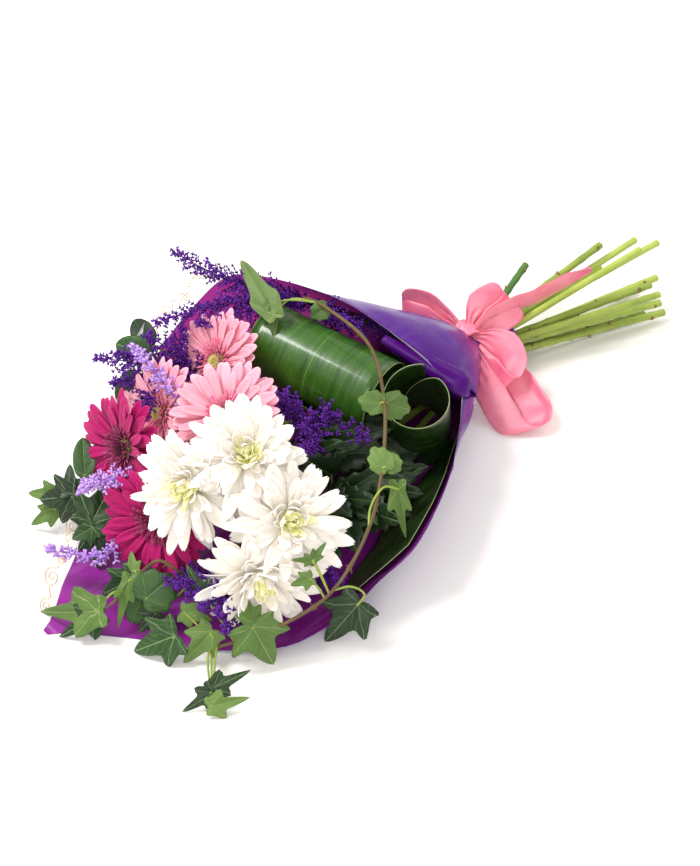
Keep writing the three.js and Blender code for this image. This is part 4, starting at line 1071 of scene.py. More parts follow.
def flatBlade(name, columns):
    outline = bladeOutlines[name]
    rows = len(outline)
    bpy.ops.mesh.primitive_grid_add(x_subdivisions=rows - 1, y_subdivisions=columns - 1, size=1,
                                    location=(0.5, 0, 0))
    blade = bpy.context.object
    blade.name = f"{name}Blade"
    bpy.ops.object.transform_apply(location=True)
    for k, (place, breadth) in enumerate(outline):
        start = k / (rows - 1)
        for vertex in blade.data.vertices:
            vertex.select = abs(vertex.co.x - start) < 0.3 / rows and vertex.co.x < parkedAt - 0.5
        for part in (*blade.data.edges, *blade.data.polygons):
            part.select = False
        bpy.ops.object.mode_set(mode="EDIT")
        bpy.ops.mesh.select_mode(type="VERT")
        bpy.ops.transform.resize(value=(1, breadth, 1))
        bpy.ops.transform.translate(value=(place - start + parkedAt, 0, 0))
        bpy.ops.object.mode_set(mode="OBJECT")
    for vertex in blade.data.vertices:
        vertex.co.x -= parkedAt
    return blade


blades = {name: flatBlade(name, 3 if name == "frill" else 5) for name in bladeOutlines}
for vertex in blades["white"].data.vertices:
    if vertex.co.x > 0.99 and abs(vertex.co.y) < 0.01:
        vertex.co.x -= 0.045  # the notched tip


def bentPetal(points, shape, spin):
    # bends a flat blade outwards from the hub: lift and curl in degrees, the rest in millimetres
    x, y, _ = points.T
    lift, curl = math.radians(shape["lift"]), math.radians(shape["curl"]) or 1e-4
    angle = lift + curl * x
    along = shape["from"] + shape["length"] * (np.sin(angle) - math.sin(lift)) / curl
    high = shape["height"] + shape["length"] * (math.cos(lift) - np.cos(angle)) / curl
    cup = shape["cup"] * (2 * y) ** 2 * np.sin(np.pi * np.clip(x * 0.8 + 0.15, 0, 1)) * shape["width"]
    raised = cup + shape["crease"] * np.exp(-(y * 9) ** 2)
    raised = raised + shape["wave"] * np.sin(x * 7 + spin * 5 + y * 6)
    side = y * shape["width"] + shape["twist"] * raised + shape["sway"] * x ** 2
    along, high = along - raised * np.sin(angle), high + raised * np.cos(angle)
    c, s = math.cos(spin), math.sin(spin)
    return np.stack([along * c - side * s, along * s + side * c, high], axis=1) / 1000


# how far petals of one ring differ; all but the first two are for each degree that the ring is loose
petalSpread = {"twist": 0.4, "sway": 0.06, "spin": 0.016, "curl": 1.5, "length": 0.013, "width": 0.014}
ringTurn = 0.3  # how far each ring is turned past the last, in radians
sagStretch = 0.008  # how much longer a petal that hangs is drawn


def petalRows(blade, rows, matrix):
    points, spread = shapeOf(blade)[0], petalSpread
    shapes, tones = [], []
    for k, values in enumerate(rows):
        row = dict(zip(rowNames, values))
        loose, sag = row["loose"], row["sag"]
        for i in range(row["count"]):
            spin = 2 * math.pi * (i + 0.5 * (k % 2)) / row["count"] + vary(loose * spread["spin"])
            spin += ringTurn * k
            shape = {"twist": vary(spread["twist"]), "sway": vary(row["length"] * spread["sway"]), **row}
            low = -(matrix.to_3x3() @ Vector((math.cos(spin), math.sin(spin), 0))).z
            shape["lift"] += vary(loose)
            shape["curl"] += vary(loose * spread["curl"])
            shape["lift"] -= sag * low
            shape["curl"] -= sag * low
            shape["length"] *= 1 + vary(loose * spread["length"]) + sag * sagStretch * low
            shape["width"] *= 1 + vary(0.04 + loose * spread["width"])
            shapes.append(placed(bentPetal(points, shape, spin), matrix))
            tones.append(chance.random())
    return shapes, tones


# each ring of petals, in millimetres and degrees; loose is how uneven it is and sag how far it hangs
rowNames = ("count", "from", "height", "length", "width", "lift", "curl", "loose", "sag", "cup", "crease",
            "wave")
gerberaForm = {
    "blades": ("gerbera", "frill"), "names": ("Petals", "Frill"), "spin": 0, "thickness": 0.0004,
    "petals": [(21, 8.5, -2.6, 38, 10.5, 10, -14, 6, 0, 0.12, -0.5, 0.35),
               (21, 8.5, -1.6, 37, 10, 17, -14, 6, 0, 0.12, -0.5, 0.35),
               (15, 8.5, -0.4, 30, 8, 25, -14, 6, 0, 0.12, -0.5, 0.35)],
    "inner": [(36, 9.5, 0, 13, 2.4, 34, -22, 8, 0, 0.12, 0, 0.1),
              (36, 8.4, 0.6, 10, 2.1, 46, -18, 8, 0, 0.12, 0, 0.1),
              (32, 7.2, 1.2, 7.5, 1.8, 58, -10, 8, 0, 0.12, 0, 0.1),
              (26, 6, 1.6, 5.5, 1.5, 70, -6, 8, 0, 0.12, 0, 0.1)],
    "disc": {"radius": 6, "height": 3, "base": 1.6, "florets": 84, "size": 0.0007},
    "cup": {"radius": 12.5, "depth": 10, "behind": 1},
}
whiteForm = {
    "blades": ("white", "white"), "names": ("Petals", "Heart"), "spin": 0.25, "thickness": 0.0005,
    "petals": [(14, 8, -6, 40, 12.5, -20, -8, 14, 14, 0.14, -0.9, 0.9),
               (16, 8, -4, 40, 12.5, -5, 0, 14, 14, 0.18, -0.9, 0.9),
               (16, 7.5, -2, 38, 11.5, 9, 8, 15, 14, 0.2, -0.9, 0.9),
               (16, 7, 0, 34, 10.5, 22, 16, 16, 12, 0.24, -0.8, 0.8),
               (15, 6, 1, 29, 9.5, 33, 28, 18, 12, 0.28, -0.5, 0.7),
               (14, 5, 2, 24, 8, 42, 42, 20, 10, 0.3, -0.5, 0.6)],
    "inner": [(12, 4, 3, 18, 6, 50, 46, 22, 8, 0.3, -0.5, 0.35),
              (10, 3, 4, 14, 4.8, 58, 46, 22, 6, 0.3, -0.5, 0.35),
              (8, 1.8, 5, 10, 3.6, 68, 30, 20, 0, 0.3, -0.5, 0.35)],
    "disc": {"radius": 2.4, "height": 3, "base": 6, "florets": 16, "size": 0.0009},
    "cup": {"radius": 11, "depth": 10, "behind": 3},
}
bloomLooks = {  # the look and the record's slot of the petals, the inner petals and the eye
    "pink": (("pinkPetal", "pink_petal"), ("pinkFrill", "pink_floret"), ("yellowFloret", "pink_floret")),
    "magenta": (("magentaPetal", "magenta_petal"), ("magentaFrill", "dark_floret"),
                ("darkFloret", "dark_floret")),
    "white": (("whitePetal", "white_petal"), ("heartPetal", "white_petal"), ("greenFloret", "yellow_floret")),
}


def floretBud():
    # one closed bud, a tiny pointed oval along +Z
    bpy.ops.mesh.primitive_uv_sphere_add(segments=5, ring_count=3, radius=1)
    made = bpy.context.object
    bpy.ops.object.mode_set(mode="EDIT")
    bpy.ops.mesh.select_mode(type="VERT")
    bpy.ops.mesh.select_all(action="DESELECT")
    bpy.ops.object.mode_set(mode="OBJECT")
    for vertex in made.data.vertices:
        vertex.select = vertex.co.z < -0.3
    bpy.ops.object.mode_set(mode="EDIT")
    bpy.ops.transform.resize(value=(0.6, 0.6, 1))
    bpy.ops.object.mode_set(mode="OBJECT")
    return made


bud = floretBud()
budPoints = shapeOf(bud)[0]


def budAt(place, way, breadth, length):
    side = way.cross(Vector((0.31, 0.5, 0.81))).normalized()
    return placed(budPoints, framed(place, side * breadth, way.cross(side) * breadth, way * length))


def buildDisc(name, node, disc, matrix, look, slot):
    # florets in a spiral over a low dome
    turned, size = matrix.to_3x3(), disc["size"]
    shapes, tones = [], []
    for k in range(disc["florets"]):
        share = math.sqrt((k + 0.5) / disc["florets"])
        c, s = math.cos(goldenTurn * k), math.sin(goldenTurn * k)
        radius = disc["radius"] * share / 1000
        high = (disc["base"] + disc["height"] * math.sqrt(1 - 0.85 * share ** 2)) / 1000
        out = Vector((c * share * 0.7, s * share * 0.7, 1)).normalized()
        place = matrix @ Vector((radius * c, radius * s, high))
        shapes.append(budAt(place, (turned @ out).normalized(), size, size * 1.9))
        tones.append(min(1, max(0, share + vary(0.25))))
    middle = matrix @ Vector((0, 0, disc["base"] / 1000))
    core = budAt(middle, turned @ Vector((0, 0, 1)), disc["radius"] / 1000, disc["height"] / 1100)
    settle(wear(manyOf(name, bud, [*shapes, core], [*tones, 0.1]), look), [node])


def buildCup(name, node, cup, matrix):
    # the green cup of bracts behind a bloom
    low, high = -(cup["depth"] + cup["behind"]) / 1000, -cup["behind"] / 1000
    bpy.ops.mesh.primitive_cone_add(
        vertices=16, radius1=cup["radius"] * 0.35 / 1000, radius2=cup["radius"] / 1000, depth=high - low,
        location=(0, 0, (low + high) / 2), end_fill_type="NGON")
    piece = bpy.context.object
    only(piece)
    bpy.ops.object.transform_apply(location=True)
    addModifier(piece, "BEVEL", width=0.001, segments=2)
    piece.data.transform(matrix)
    piece.name = piece.data.name = name
    piece.data.shade_smooth()
    settle(wear(piece, "greenStem"), [node])


def buildBloom(node, bloom, look, form):
    turn = Vector((0, 0, 1)).rotation_difference(heading(*bloom["facing"])).to_matrix().to_4x4()
    matrix = Matrix.Translation(at(*bloom["at"])) @ turn @ Matrix.Rotation(form["spin"], 4, "Z")
    name = pieceName(node)
    *rowLooks, eyeLook = bloomLooks[look]
    rings = zip(("petals", "inner"), form["names"], form["blades"], rowLooks)
    for ring, ending, source, (finish, slot) in rings:
        shapes, tones = petalRows(blades[source], form[ring], matrix)
        petals = thickened(manyOf(name + ending, blades[source], shapes, tones), form["thickness"])
        settle(wear(petals, finish), [f"{node}_petals"])
    buildDisc(f"{name}Eye", f"{node}_eye", form["disc"], matrix, *eyeLook)
    buildCup(f"{name}Cup", f"{node}_petals", form["cup"], matrix)


for key, bloom in gerberas.items():
    buildBloom(f"gerbera_{key}", bloom, bloom["look"], gerberaForm)
for key, bloom in chrysanthemums.items():
    buildBloom(f"chrysanthemum_{key}", bloom, "white", whiteForm)
print("blooms made")

# sprays: thin branches with rows of buds; a bud's breadth and length and the twig's radius are in metres
sprayForm = {
    "goldenrod": {"reach": 14.5, "step": 1.75, "budStep": 1.7, "bud": (0.00096, 0.0015), "twig": 0.00036,
                  "look": "deepBud", "slot": "purple_spray"},
    "lilac": {"reach": 8.5, "step": 2.9, "budStep": 2.4, "bud": (0.0013, 0.0021), "twig": 0.00045,
              "look": "lilacBud", "slot": "lilac_spray"},
    "lowest": 0.003, "steps": 60, "turn": 2.4, "bare": 0.12, "branched": 0.87, "widths": (2.4, 1.2),
    "buds": ((1.0, 3.1), (0.0, 2.1, 4.2)),  # where they sit round the even and the odd steps, in radians
}


def plumeBranch(route, k, count, form):
    # one side branch of a plume, longest past its start and shorter to its tip
    share = sprayForm["bare"] + sprayForm["branched"] * k / max(1, count - 1)
    index = min(sprayForm["steps"] - 1, round(share * sprayForm["steps"]))
    spot = route[index]
    ahead = (route[index + 1] - route[index - 1]).normalized()
    start = ahead.cross(Vector((0.3, 0.5, 0.8))).normalized()
    side = spun(start, sprayForm["turn"] * k + vary(0.6), ahead)
    swell = math.sin(math.pi * min(1, 0.25 + share * 0.8)) ** 0.5
    reach = form["reach"] * (0.3 + 0.7 * swell) * chance.uniform(0.55, 1.2)
    reach = reach * (1 - 0.35 * share) * min(1, 0.3 + 2.4 * share)
    bend = (side + ahead * chance.uniform(0.4, 1.0)).normalized() * (reach / 1000)
    curl = spun(side, vary(1.2), ahead) * (reach * 0.3 / 1000)
    steps = max(3, int(reach / form["budStep"]))
    return smoothRoute([spot, spot + bend * 0.5, spot + bend + ahead * (reach * 0.3 / 1000) + curl], steps)


def budsOn(branch, form):
    # rings of two or three buds round each step of a branch
    breadth, length = form["bud"]
    shade = chance.random()
    shapes, tones = [], []
    for i in range(1, len(branch)):
        out = (branch[i] - branch[i - 1]).normalized()
        for turn in sprayForm["buds"][i % 2]:
            side = spun(out.orthogonal().normalized(), turn + vary(0.8), out)
            lean = (side * chance.uniform(0.5, 1.2) + out * 0.8).normalized()
            size = chance.uniform(0.7, 1.2)
            place = branch[i] + lean * (length * size * 0.9)
            shapes.append(budAt(place, lean, breadth * size, length * size))
            tones.append(min(1, max(0, shade * 0.4 + chance.random() * 0.6)))
    return shapes, tones


def buildSpray(node, plan):
    form = sprayForm[node.split("_")[0]]
    end, before = at(*plan["stem"][0]), at(*plan["stem"][1])
    way = (end - before).normalized()
    steps, (thick, thin) = sprayForm["steps"], sprayForm["widths"]
    routes, widths, shapes, tones = [], [], [], []
    for through in plan["plumes"]:
        route = evenRoute([end + way * 0.0005, end + way * 0.004, *(at(*p) for p in through)], steps)
        routes.append(route)
        widths.append([thick - (thick - thin) * k / steps for k in range(len(route))])
        count = int(lengthOf(route) * 1000 / form["step"])
        for k in range(count):
            branch = plumeBranch(route, k, count, form)
            if min(place.z for place in branch) < sprayForm["lowest"]:
                continue
            routes.append(branch)
            widths.append([thin] * len(branch))
            buds = budsOn(branch, form)
            shapes += buds[0]
            tones += buds[1]
    for piece in (tubes(f"{pieceName(node)}Twigs", routes, form["twig"], 0, widths),
                  manyOf(f"{pieceName(node)}Buds", bud, shapes, tones)):
        settle(wear(piece, form["look"]), [node])


for node, plan in sprayStems.items():
    buildSpray(node, plan)
print("sprays made")

# aspidistra: long ribbed blades rolled on themselves, and one that lines the film's front wall
aspidistras = {
    "upper": {
        "slot": "topNear", "cut": (205, -10, 50), "petiole": [(96, -10, 52)],
        "spread": [(64, -8, 57), (36, -4, 59), (4, 0, 60)], "centre": (-32, -3, 89), "axis": (33, -107, -12),
        "start": (0.1, 0, -1), "turn": -430, "radius": 31, "tighten": 5, "width": 122, "look": "aspidistra"},
    "lower": {
        "slot": "highNear", "cut": (315, -71, 44), "petiole": [(100, -30, 40)],
        "spread": [(80, -38, 46), (56, -48, 52), (38, -56, 58)], "centre": (6.3, -84.5, 67),
        "axis": (-0.35, -0.3, 0.9), "start": (1, 0.9, 0), "turn": 400, "radius": 31, "tighten": 8,
        "width": 82, "look": "darkAspidistra"},
}
lining = {
    "inset": 4, "stations": [  # x, degrees round the film's front wall from below, and width
        (74, 90, 3), (60, 80, 12), (35, 68, 36), (12, 60, 52), (-12, 54, 60), (-47, 46, 64), (-87, 40, 54),
        (-125, 36, 30), (-150, 34, 4)],
}
bladeThickness = 0.0006
rollForm = {"stepTurn": 36, "parts": 8, "columns": 15, "petiole": 0.0032, "tip": 2.4}


def buildAspidistra(key, plan):
    # led from the stem into a roll, whose radius shrinks with each turn
    along, start = Vector(plan["axis"]).normalized(), Vector(plan["start"])
    out = (start - along * start.dot(along)).normalized()
    third = along.cross(out)
    centre = at(*plan["centre"])
    lead = [at(*p) for p in plan["spread"]]

    def rollAt(angle):
        radius = (plan["radius"] - plan["tighten"] * angle / 360) / 1000
        turn = math.radians(angle)
        return centre + out * (radius * math.cos(turn)) + third * (radius * math.sin(turn))

    parts = rollForm["parts"]  # of each step of the route
    rollSteps = round(abs(plan["turn"]) / rollForm["stepTurn"])
    opening = smoothRoute([*lead, rollAt(0), rollAt(plan["turn"] / rollSteps)], parts * (len(lead) + 1))
    middles = [(k / parts, place) for k, place in enumerate(opening[:parts * len(lead)])]
    for k in range(parts * rollSteps + 1):
        middles.append((len(lead) + k / parts, rollAt(plan["turn"] * k / parts / rollSteps)))
    last = len(lead) + rollSteps
    grid = []
    for step, middle in middles:
        opened = math.sin(min((step + 0.35) / (len(lead) + 0.5), 1) * math.pi / 2)
        tip = min(1, (last - step + 0.25) / rollForm["tip"])
        half = plan["width"] / 2000 * opened * tip ** 0.75
        grid.append([middle + along * (half * offset) for offset in across(rollForm["columns"])])
    blade = wear(sheetOf(f"aspidistra{key.capitalize()}", grid, bladeThickness), plan["look"])
    tie = [boundPoint(plan["slot"], bundle["tie"][0] + side * bundle["half"]) for side in (-1, 1)]
    route = [*smoothRoute([lead[0], *(at(*p) for p in plan["petiole"]), tie[0]], 12), tie[1]]
    route += [tie[1].lerp(at(*plan["cut"]), k / parts) for k in range(1, parts + 1)]
    petiole = wear(tubes("petiole", [route], rollForm["petiole"], 4), "greenStem")
    settle(joined(blade.name, [blade, petiole]), [f"aspidistra_{key}"])


def buildLining():
    # follows the film's front wall a little inside it, and is centred on its node
    grid = []
    inset = lining["inset"]
    for x, angle, width in smoothRoute(lining["stations"], 48):
        k = next(i for i, section in enumerate(film["sections"]) if section[0] <= x)
        a, b = film["sections"][k - 1], film["sections"][k]
        w = (x - a[0]) / (b[0] - a[0])
        flat, reach, rise = (a[i] + (b[i] - a[i]) * w for i in (1, 3, 5))
        line = []
        for offset in across(13):
            bend = math.radians(angle + offset * width * 90 / (math.pi * 100))
            y, z = flat - (reach - inset) * math.sin(bend), rise - (rise - inset) * math.cos(bend)
            line.append(at(x, y, z))
        grid.append(line)
    piece = sheetOf("aspidistraLining", grid, bladeThickness)
    low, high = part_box("aspidistra_lining")
    points = shapeOf(piece)[0]
    shift = (Vector(low) + Vector(high)) / 2 - Vector((points.min(axis=0) + points.max(axis=0)) / 2)
    piece.data.transform(Matrix.Translation(shift))
    settle(wear(piece, "darkAspidistra"), ["aspidistra_lining"])


for key, plan in aspidistras.items():
    buildAspidistra(key, plan)
buildLining()
print("aspidistra made")

# ivy and salal: leaves from a few modelled outlines, each bent on its own
leafForms = {  # degrees from the tip and distance from the petiole's end, for half an outline one long
    "ivy": [(0, 1), (4, 0.93), (9, 0.82), (15, 0.69), (22, 0.57), (30, 0.5), (37, 0.51), (44, 0.6),
            (50, 0.68), (55, 0.66), (62, 0.54), (71, 0.43), (82, 0.37), (93, 0.39), (102, 0.44),
            (109, 0.42), (120, 0.31), (136, 0.2), (153, 0.12), (170, 0.07)],
    "arrow": [(0, 1), (5, 0.84), (10, 0.68), (16, 0.55), (23, 0.45), (32, 0.42), (44, 0.5), (56, 0.58),
              (66, 0.5), (78, 0.36), (92, 0.3), (106, 0.32), (120, 0.3), (138, 0.2), (160, 0.1)],
    "round": [(0, 1), (8, 0.97), (14, 0.87), (20, 0.83), (27, 0.86), (34, 0.84), (42, 0.72), (50, 0.67),
              (58, 0.7), (67, 0.64), (78, 0.52), (90, 0.46), (104, 0.4), (120, 0.34), (140, 0.24),
              (162, 0.1)],
    "toothed": [(0, 1), (5, 0.92), (6, 0.84), (12, 0.82), (14, 0.68), (22, 0.68), (25, 0.54), (36, 0.56),
                (40, 0.42), (56, 0.42), (64, 0.26), (90, 0.2), (120, 0.14), (150, 0.08)],
    "long": [(0, 1), (3, 0.95), (7, 0.85), (12, 0.72), (20, 0.55), (30, 0.45), (40, 0.42), (50, 0.42),
             (60, 0.38), (72, 0.3), (85, 0.24), (100, 0.22), (118, 0.2), (140, 0.12), (160, 0.06)],
    "oval": [(0, 1), (4, 0.96), (9, 0.88), (15, 0.76), (23, 0.62), (32, 0.48), (45, 0.36), (62, 0.26),
             (85, 0.18), (115, 0.12), (150, 0.08)],
    "folded": [(0, 1), (4, 0.93), (9, 0.84), (16, 0.72), (25, 0.58), (36, 0.48), (50, 0.4), (68, 0.32),
               (90, 0.26), (115, 0.22), (150, 0.12)],
}
leafRings = (0.8, 0.7, 0.55, 0.4)  # how far each ring of a leaf shrinks towards the stalk's end
upward = Vector((-0.49, -0.59, 0.64))  # leaves turn their faces this way
leafThickness = 0.0004
lowest = {"leaf": 0.0006, "root": 0.0008, "petiole": 0.0014}  # how near the floor their middles may come


def flatLeaf(name, half):
    # the outline as a circle's points, then rings extruded inwards
    outline = half + [(360 - angle, reach) for angle, reach in reversed(half[1:])]
    bpy.ops.mesh.primitive_circle_add(vertices=len(outline), radius=1, fill_type="NOTHING")
    blade = bpy.context.object
    for vertex, (angle, reach) in zip(blade.data.vertices, outline):
        turn = math.radians(angle)
        vertex.co = (reach * math.cos(turn), reach * math.sin(turn), 0)
    bpy.ops.object.mode_set(mode="EDIT")
    bpy.ops.mesh.select_all(action="SELECT")
    for shrink in leafRings:
        bpy.ops.mesh.extrude_edges_move()
        bpy.ops.transform.resize(value=(shrink, shrink, 1), center_override=(0, 0, 0))
    bpy.ops.mesh.merge(type="CENTER")
    bpy.ops.mesh.select_all(action="SELECT")
    bpy.ops.mesh.subdivide(number_cuts=1)
    bpy.ops.mesh.normals_make_consistent(inside=False)
    bpy.ops.object.mode_set(mode="OBJECT")
    mesh = blade.data
    if mesh.polygons[0].normal.z < 0:
        mesh.flip_normals()
    layer = mesh.uv_layers.active
    for loop in mesh.loops:
        x, y, _ = mesh.vertices[loop.vertex_index].co
        layer.data[loop.index].uv = (x / 2 + 0.3, y / 2 + 0.5)
    blade.name = name
    return blade


leafBlades = {name: flatLeaf(f"{name}Leaf", half) for name, half in leafForms.items()}


def leafShape(points, plan):
    # the blade is folded, drooped and waved a little, and its face is turned up and out
    base, tip = at(*plan["base"]), at(*plan["tip"])
    length = (tip - base).length
    x, y = points[:, 0] * length, points[:, 1] * length * plan["broad"]
    folded = plan["fold"] * np.abs(y) - plan["droop"] * (x ** 2 + 1.5 * y ** 2) / length
    edge, turn = np.hypot(points[:, 0], points[:, 1]), np.arctan2(points[:, 1], points[:, 0])
    waved = folded + plan["wave"] * length * edge * np.sin(turn * 5 + sum(plan["base"]))
    along = (tip - base).normalized()
    face = spun((upward - along * upward.dot(along)).normalized(), math.radians(plan["roll"]), along)
    shape = placed(np.stack([x, y, waved], axis=1), framed(base, along, face.cross(along), face))
    shape[:, 2] = np.maximum(shape[:, 2], lowest["leaf"])  # a low tip lies on the floor
    return shape


def leafPiece(plan):
    source = leafBlades[plan["form"]]
    blade = manyOf("leafBlade", source, [leafShape(shapeOf(source)[0], plan)], [chance.random()])
    return wear(thickened(blade, leafThickness), plan["look"])


def nearestOn(route, place):
    return min(route, key=lambda spot: (spot - place).length)


ivies = {
    "long": {
        "radius": 1.7, "steps": 110, "look": "vineBark",
        "through": [(84, -9.5, 59.6), (60, 4, 72), (30, 28, 100), (6, 38, 116), (-16, 42, 131),
                    (-18, 20, 139), (-23, -50, 140), (-55, -107, 134), (-80, -137, 126), (-98, -155, 116),
                    (-128, -178, 98), (-157, -188, 76), (-180, -188, 58), (-208, -176, 40),
                    (-228, -160, 26), (-252, -142, 14), (-278, -122, 8)],
        "leaves": [
            leaf((-54, 34, 136), (-44, 99, 161), 0.55, "greyIvy", "long", start=(-18, 20, 139),
                 via=[(-32, 38, 140)], fold=0.45, wave=0.06),
            leaf((-50, 44, 142), (-64, 22, 126), 0.6, "greyIvy", "folded", start=(-18, 20, 139),
                 via=[(-34, 36, 141)], fold=0.4),
            leaf((-15, 14, 137), (-28, 18, 130), 1.0, "paleIvy", "round"),
            leaf((-60, -109, 132), (-73, -97, 136), 0.95, "paleIvy", "round"),
            leaf((-55, -110, 131), (-41, -124, 125), 1.0, "paleIvy", "round"),
            leaf((-96, -157, 118), (-97, -141, 129), 0.9, "paleIvy", "round"),
            leaf((-94, -156, 116), (-77, -150, 120), 0.9, "paleIvy", "round"),
            leaf((-93, -168, 104), (-104, -186, 66), 0.4, "paleIvy", start=(-134, -180, 95),
                 via=[(-124, -172, 104), (-106, -166, 110)], roll=20),
            leaf((-179, -170, 82), (-193, -163, 85), 0.6, "paleIvy", start=(-182, -186, 66)),
            leaf((-179, -170, 82), (-166, -170, 92), 0.6, "paleIvy", start=(-182, -186, 66)),
            leaf((-186, -176, 72), (-200, -168, 66), 0.85, "paleIvy", start=(-186, -186, 60)),
            leaf((-154, -193, 36), (-184, -187, 6), 0.95, "shadeIvy", start=(-176, -188, 64),
                 via=[(-163, -194, 62), (-150, -196, 46)]),
            leaf((-230, -160, 36), (-230, -184, 12), 1.35, "paleIvy", start=(-226, -162, 28)),
            leaf((-228, -158, 38), (-224, -138, 52), 0.8, "paleIvy", start=(-226, -162, 28)),
            leaf((-274, -118, 22), (-302, -98, 5), 1.05),
            leaf((-251, -134, 24), (-278, -134, 7), 0.9, "paleIvy"),
            leaf((-258, -109, 30), (-246, -128, 28), 0.9, "paleIvy", start=(-252, -142, 14)),
            leaf((-241, -117, 38), (-243, -94, 60), 0.6, start=(-240, -151, 20)),
            leaf((-281, -175, 12), (-306, -170, 3), 0.8, "shadeIvy", "arrow", start=(-254, -141, 13),
                 via=[(-270, -156, 24)]),
            leaf((-279, -173, 14), (-250, -184, 22), 0.7, "ivyLeaf", "arrow", start=(-252, -142, 15),
                 via=[(-266, -160, 24)]),
            leaf((-287, -182, 8), (-263, -198, 12), 0.8, "paleIvy", "arrow", start=(-280, -176, 12))]},
    "front": {
        "radius": 1.6, "steps": 60, "look": "vineBark",
        "through": [(-150, -50, 3.6), (-190, -60, 3.9), (-222, -76, 14), (-240, -84, 40), (-252, -70, 52),
                    (-272, -62, 36), (-290, -62, 26), (-304, -62, 22)],
        "leaves": [
            leaf((-306, -62, 26), (-341, -17, 10), 0.7, "paleIvy", "arrow", start=(-280, -62, 30),
                 via=[(-292, -64, 38)]),
            leaf((-305, -60, 20), (-337, -48, 4), 0.9, "shadeIvy", "arrow"),
            leaf((-273, -59, 36), (-294, -44, 20), 1.0, "shadeIvy"),
            leaf((-274, -60, 38), (-299, -76, 14), 0.4, "paleIvy"),
            leaf((-268, -58, 42), (-262, -46, 52), 0.8, "paleIvy"),
            leaf((-272, -78, 30), (-250, -84, 44), 1.2, "roundLeaf", "round", start=(-228, -79, 24),
                 via=[(-262, -86, 22)]),
            leaf((-264, -67, 28), (-286, -77, 12), 1.1, "roundLeaf", "round", start=(-266, -64, 40)),
            leaf((-269, -86, 18), (-286, -85, 6), 1.0, "shadeIvy", start=(-240, -84, 40))]},
    "left": {
        "radius": 1.6, "steps": 48, "look": "vineBark",
        "through": [(-170, 22, 9.5), (-220, 24, 11.1), (-250, 28, 22), (-258, 44, 28), (-258, 60, 26)],
        "leaves": [
            leaf((-258, 44, 44), (-280, 67, 36), 1.1, "shadeIvy"),
            leaf((-258, 46, 46), (-246, 66, 60), 0.8, "shadeIvy"),
            leaf((-258, 44, 42), (-273, 45, 18), 0.9, "shadeIvy"),
            leaf((-262, 64, 34), (-280, 84, 32), 0.8, "paleIvy"),
            leaf((-266, 61, 22), (-288, 72, 8), 0.7, "paleIvy"),
            leaf((-259, 15, 36), (-230, 22, 64), 1.0, start=(-252, 30, 24)),
            leaf((-261, 12, 34), (-278, 22, 22), 1.1, start=(-252, 30, 24)),
            leaf((-259, 14, 26), (-270, -6, 6), 0.9, "shadeIvy", start=(-252, 30, 24))]},
}
salals = {
    "left": {
        "radius": 1.6, "steps": 30, "look": "greenStem",
        "through": [(-190, 38, 19.5), (-214, 50, 42), (-238, 48, 50), (-250, 40, 58)],
        "leaves": [
            leaf((-246, 40, 62), (-234, 60, 84), 1.1, "roundLeaf", "oval"),
            leaf((-232, 54, 52), (-226, 78, 60), 1.0, "roundLeaf", "oval")]},
}
vineForm = {"roots": (0.0, 1.7, 3.6, 5.1), "rootWidths": [0.3, 0.22, 0.12], "knuckleEvery": 9,
            "knuckle": 0.25, "uneven": 0.12, "petiole": 0.0009}


def rootTuft(route, k, radius):
    # short roots round a knuckle
    ahead = (route[k + 1] - route[k]).normalized()
    tufts = []
    for turn in vineForm["roots"]:
        way = spun(ahead.orthogonal().normalized(), turn + vary(0.5), ahead) + ahead * vary(0.9)
        end = route[k] + way * (radius + chance.uniform(0.8, 2.4)) / 1000
        tufts.append(keepAbove([route[k], end, end + (ahead * vary(1) + way * 0.3) / 1000], lowest["root"]))
    return tufts


def petioleOf(route, plan):
    base = at(*plan["base"])
    inner = base.lerp(at(*plan["tip"]), 0.03)
    start = nearestOn(route, at(*plan["start"]))
    bent = [start, *(at(*p) for p in plan["via"]), inner]
    if not plan["via"]:
        bent.insert(1, start.lerp(inner, 0.5) + Vector((0, 0, 0.0015)))
    return keepAbove(smoothRoute(bent, 14), lowest["petiole"])


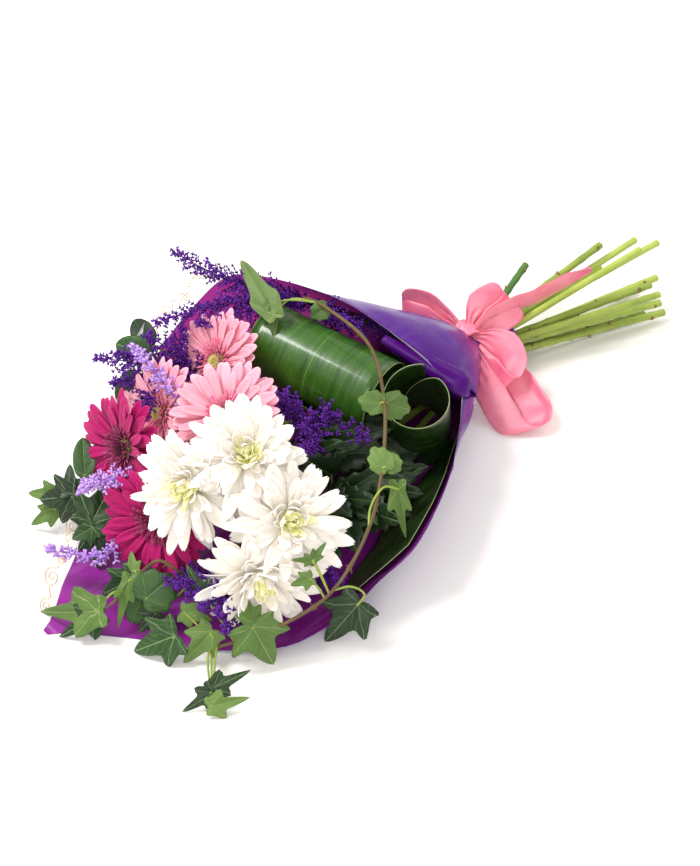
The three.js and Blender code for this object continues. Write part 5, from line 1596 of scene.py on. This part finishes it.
def buildVine(node, vine):
    route = smoothRoute([at(*p) for p in vine["through"]], vine["steps"])
    widths, every = [], vineForm["knuckleEvery"]
    for k, place in enumerate(route):
        knuckle = vineForm["knuckle"] if k % every == 4 else 0.0
        widths.append(1 + knuckle + vineForm["uneven"] * noise.noise(place * 90) - 0.25 * k / len(route))
    roots = [root for k in range(4, len(route) - 2, every) for root in rootTuft(route, k, vine["radius"])]
    allWidths = [widths, *[vineForm["rootWidths"]] * len(roots)]
    stem = tubes("vine", [route, *roots], vine["radius"] / 1000, 2, allWidths)
    parts = [wear(stem, vine["look"]), *(leafPiece(plan) for plan in vine["leaves"])]
    petioles = [petioleOf(route, plan) for plan in vine["leaves"]]
    parts.append(wear(tubes("petioles", petioles, vineForm["petiole"], 2), "greenStem"))
    settle(joined(pieceName(node), parts), [node])


def buildFoliage(name, node, via, stem):
    # stalked leaves on a flower's stem
    tied = boundPoint(stem["slot"], bundle["tie"][0] - bundle["half"])
    route = smoothRoute([*(at(*p) for p in via), tied], 60)
    parts = [leafPiece(plan) for plan in stem["leaves"]]
    stalks = []
    for plan in stem["leaves"]:
        base, tip = at(*plan["base"]), at(*plan["tip"])
        start = nearestOn(route, at(*plan["start"]))
        middle = start.lerp(base, 0.5) + Vector((0, 0, 0.002))
        stalks.append(smoothRoute([start, middle, base.lerp(tip, 0.04)], 8))
    parts.append(wear(tubes("stalks", stalks, 0.001, 2), "greenStem"))
    settle(joined(f"{pieceName(name)}Leaves", parts), [node])


for key, vine in ivies.items():
    buildVine(f"ivy_{key}", vine)
for key, vine in salals.items():
    buildVine(f"salal_{key}", vine)
for key, plan in chrysanthemumStems.items():
    plan = {**plan, "leaves": [stalkLeaf(*measures) for measures in plan["leaves"]]}
    buildFoliage(f"chrysanthemum_{key}", f"chrysanthemum_stem_{key}", plan["via"], plan)
leafySpray = sprayStems["goldenrod_b"]
buildFoliage("goldenrod_b", "goldenrod_b_stem", leafySpray["stem"], leafySpray)
for source in (bud, *blades.values(), *leafBlades.values()):
    bpy.data.objects.remove(source)
print("leaves made")

wear(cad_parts["binding"], "binding")
addFloor()
addCamera()
addLights()
bpy.ops.object.select_all(action="DESELECT")
print("scene ready")
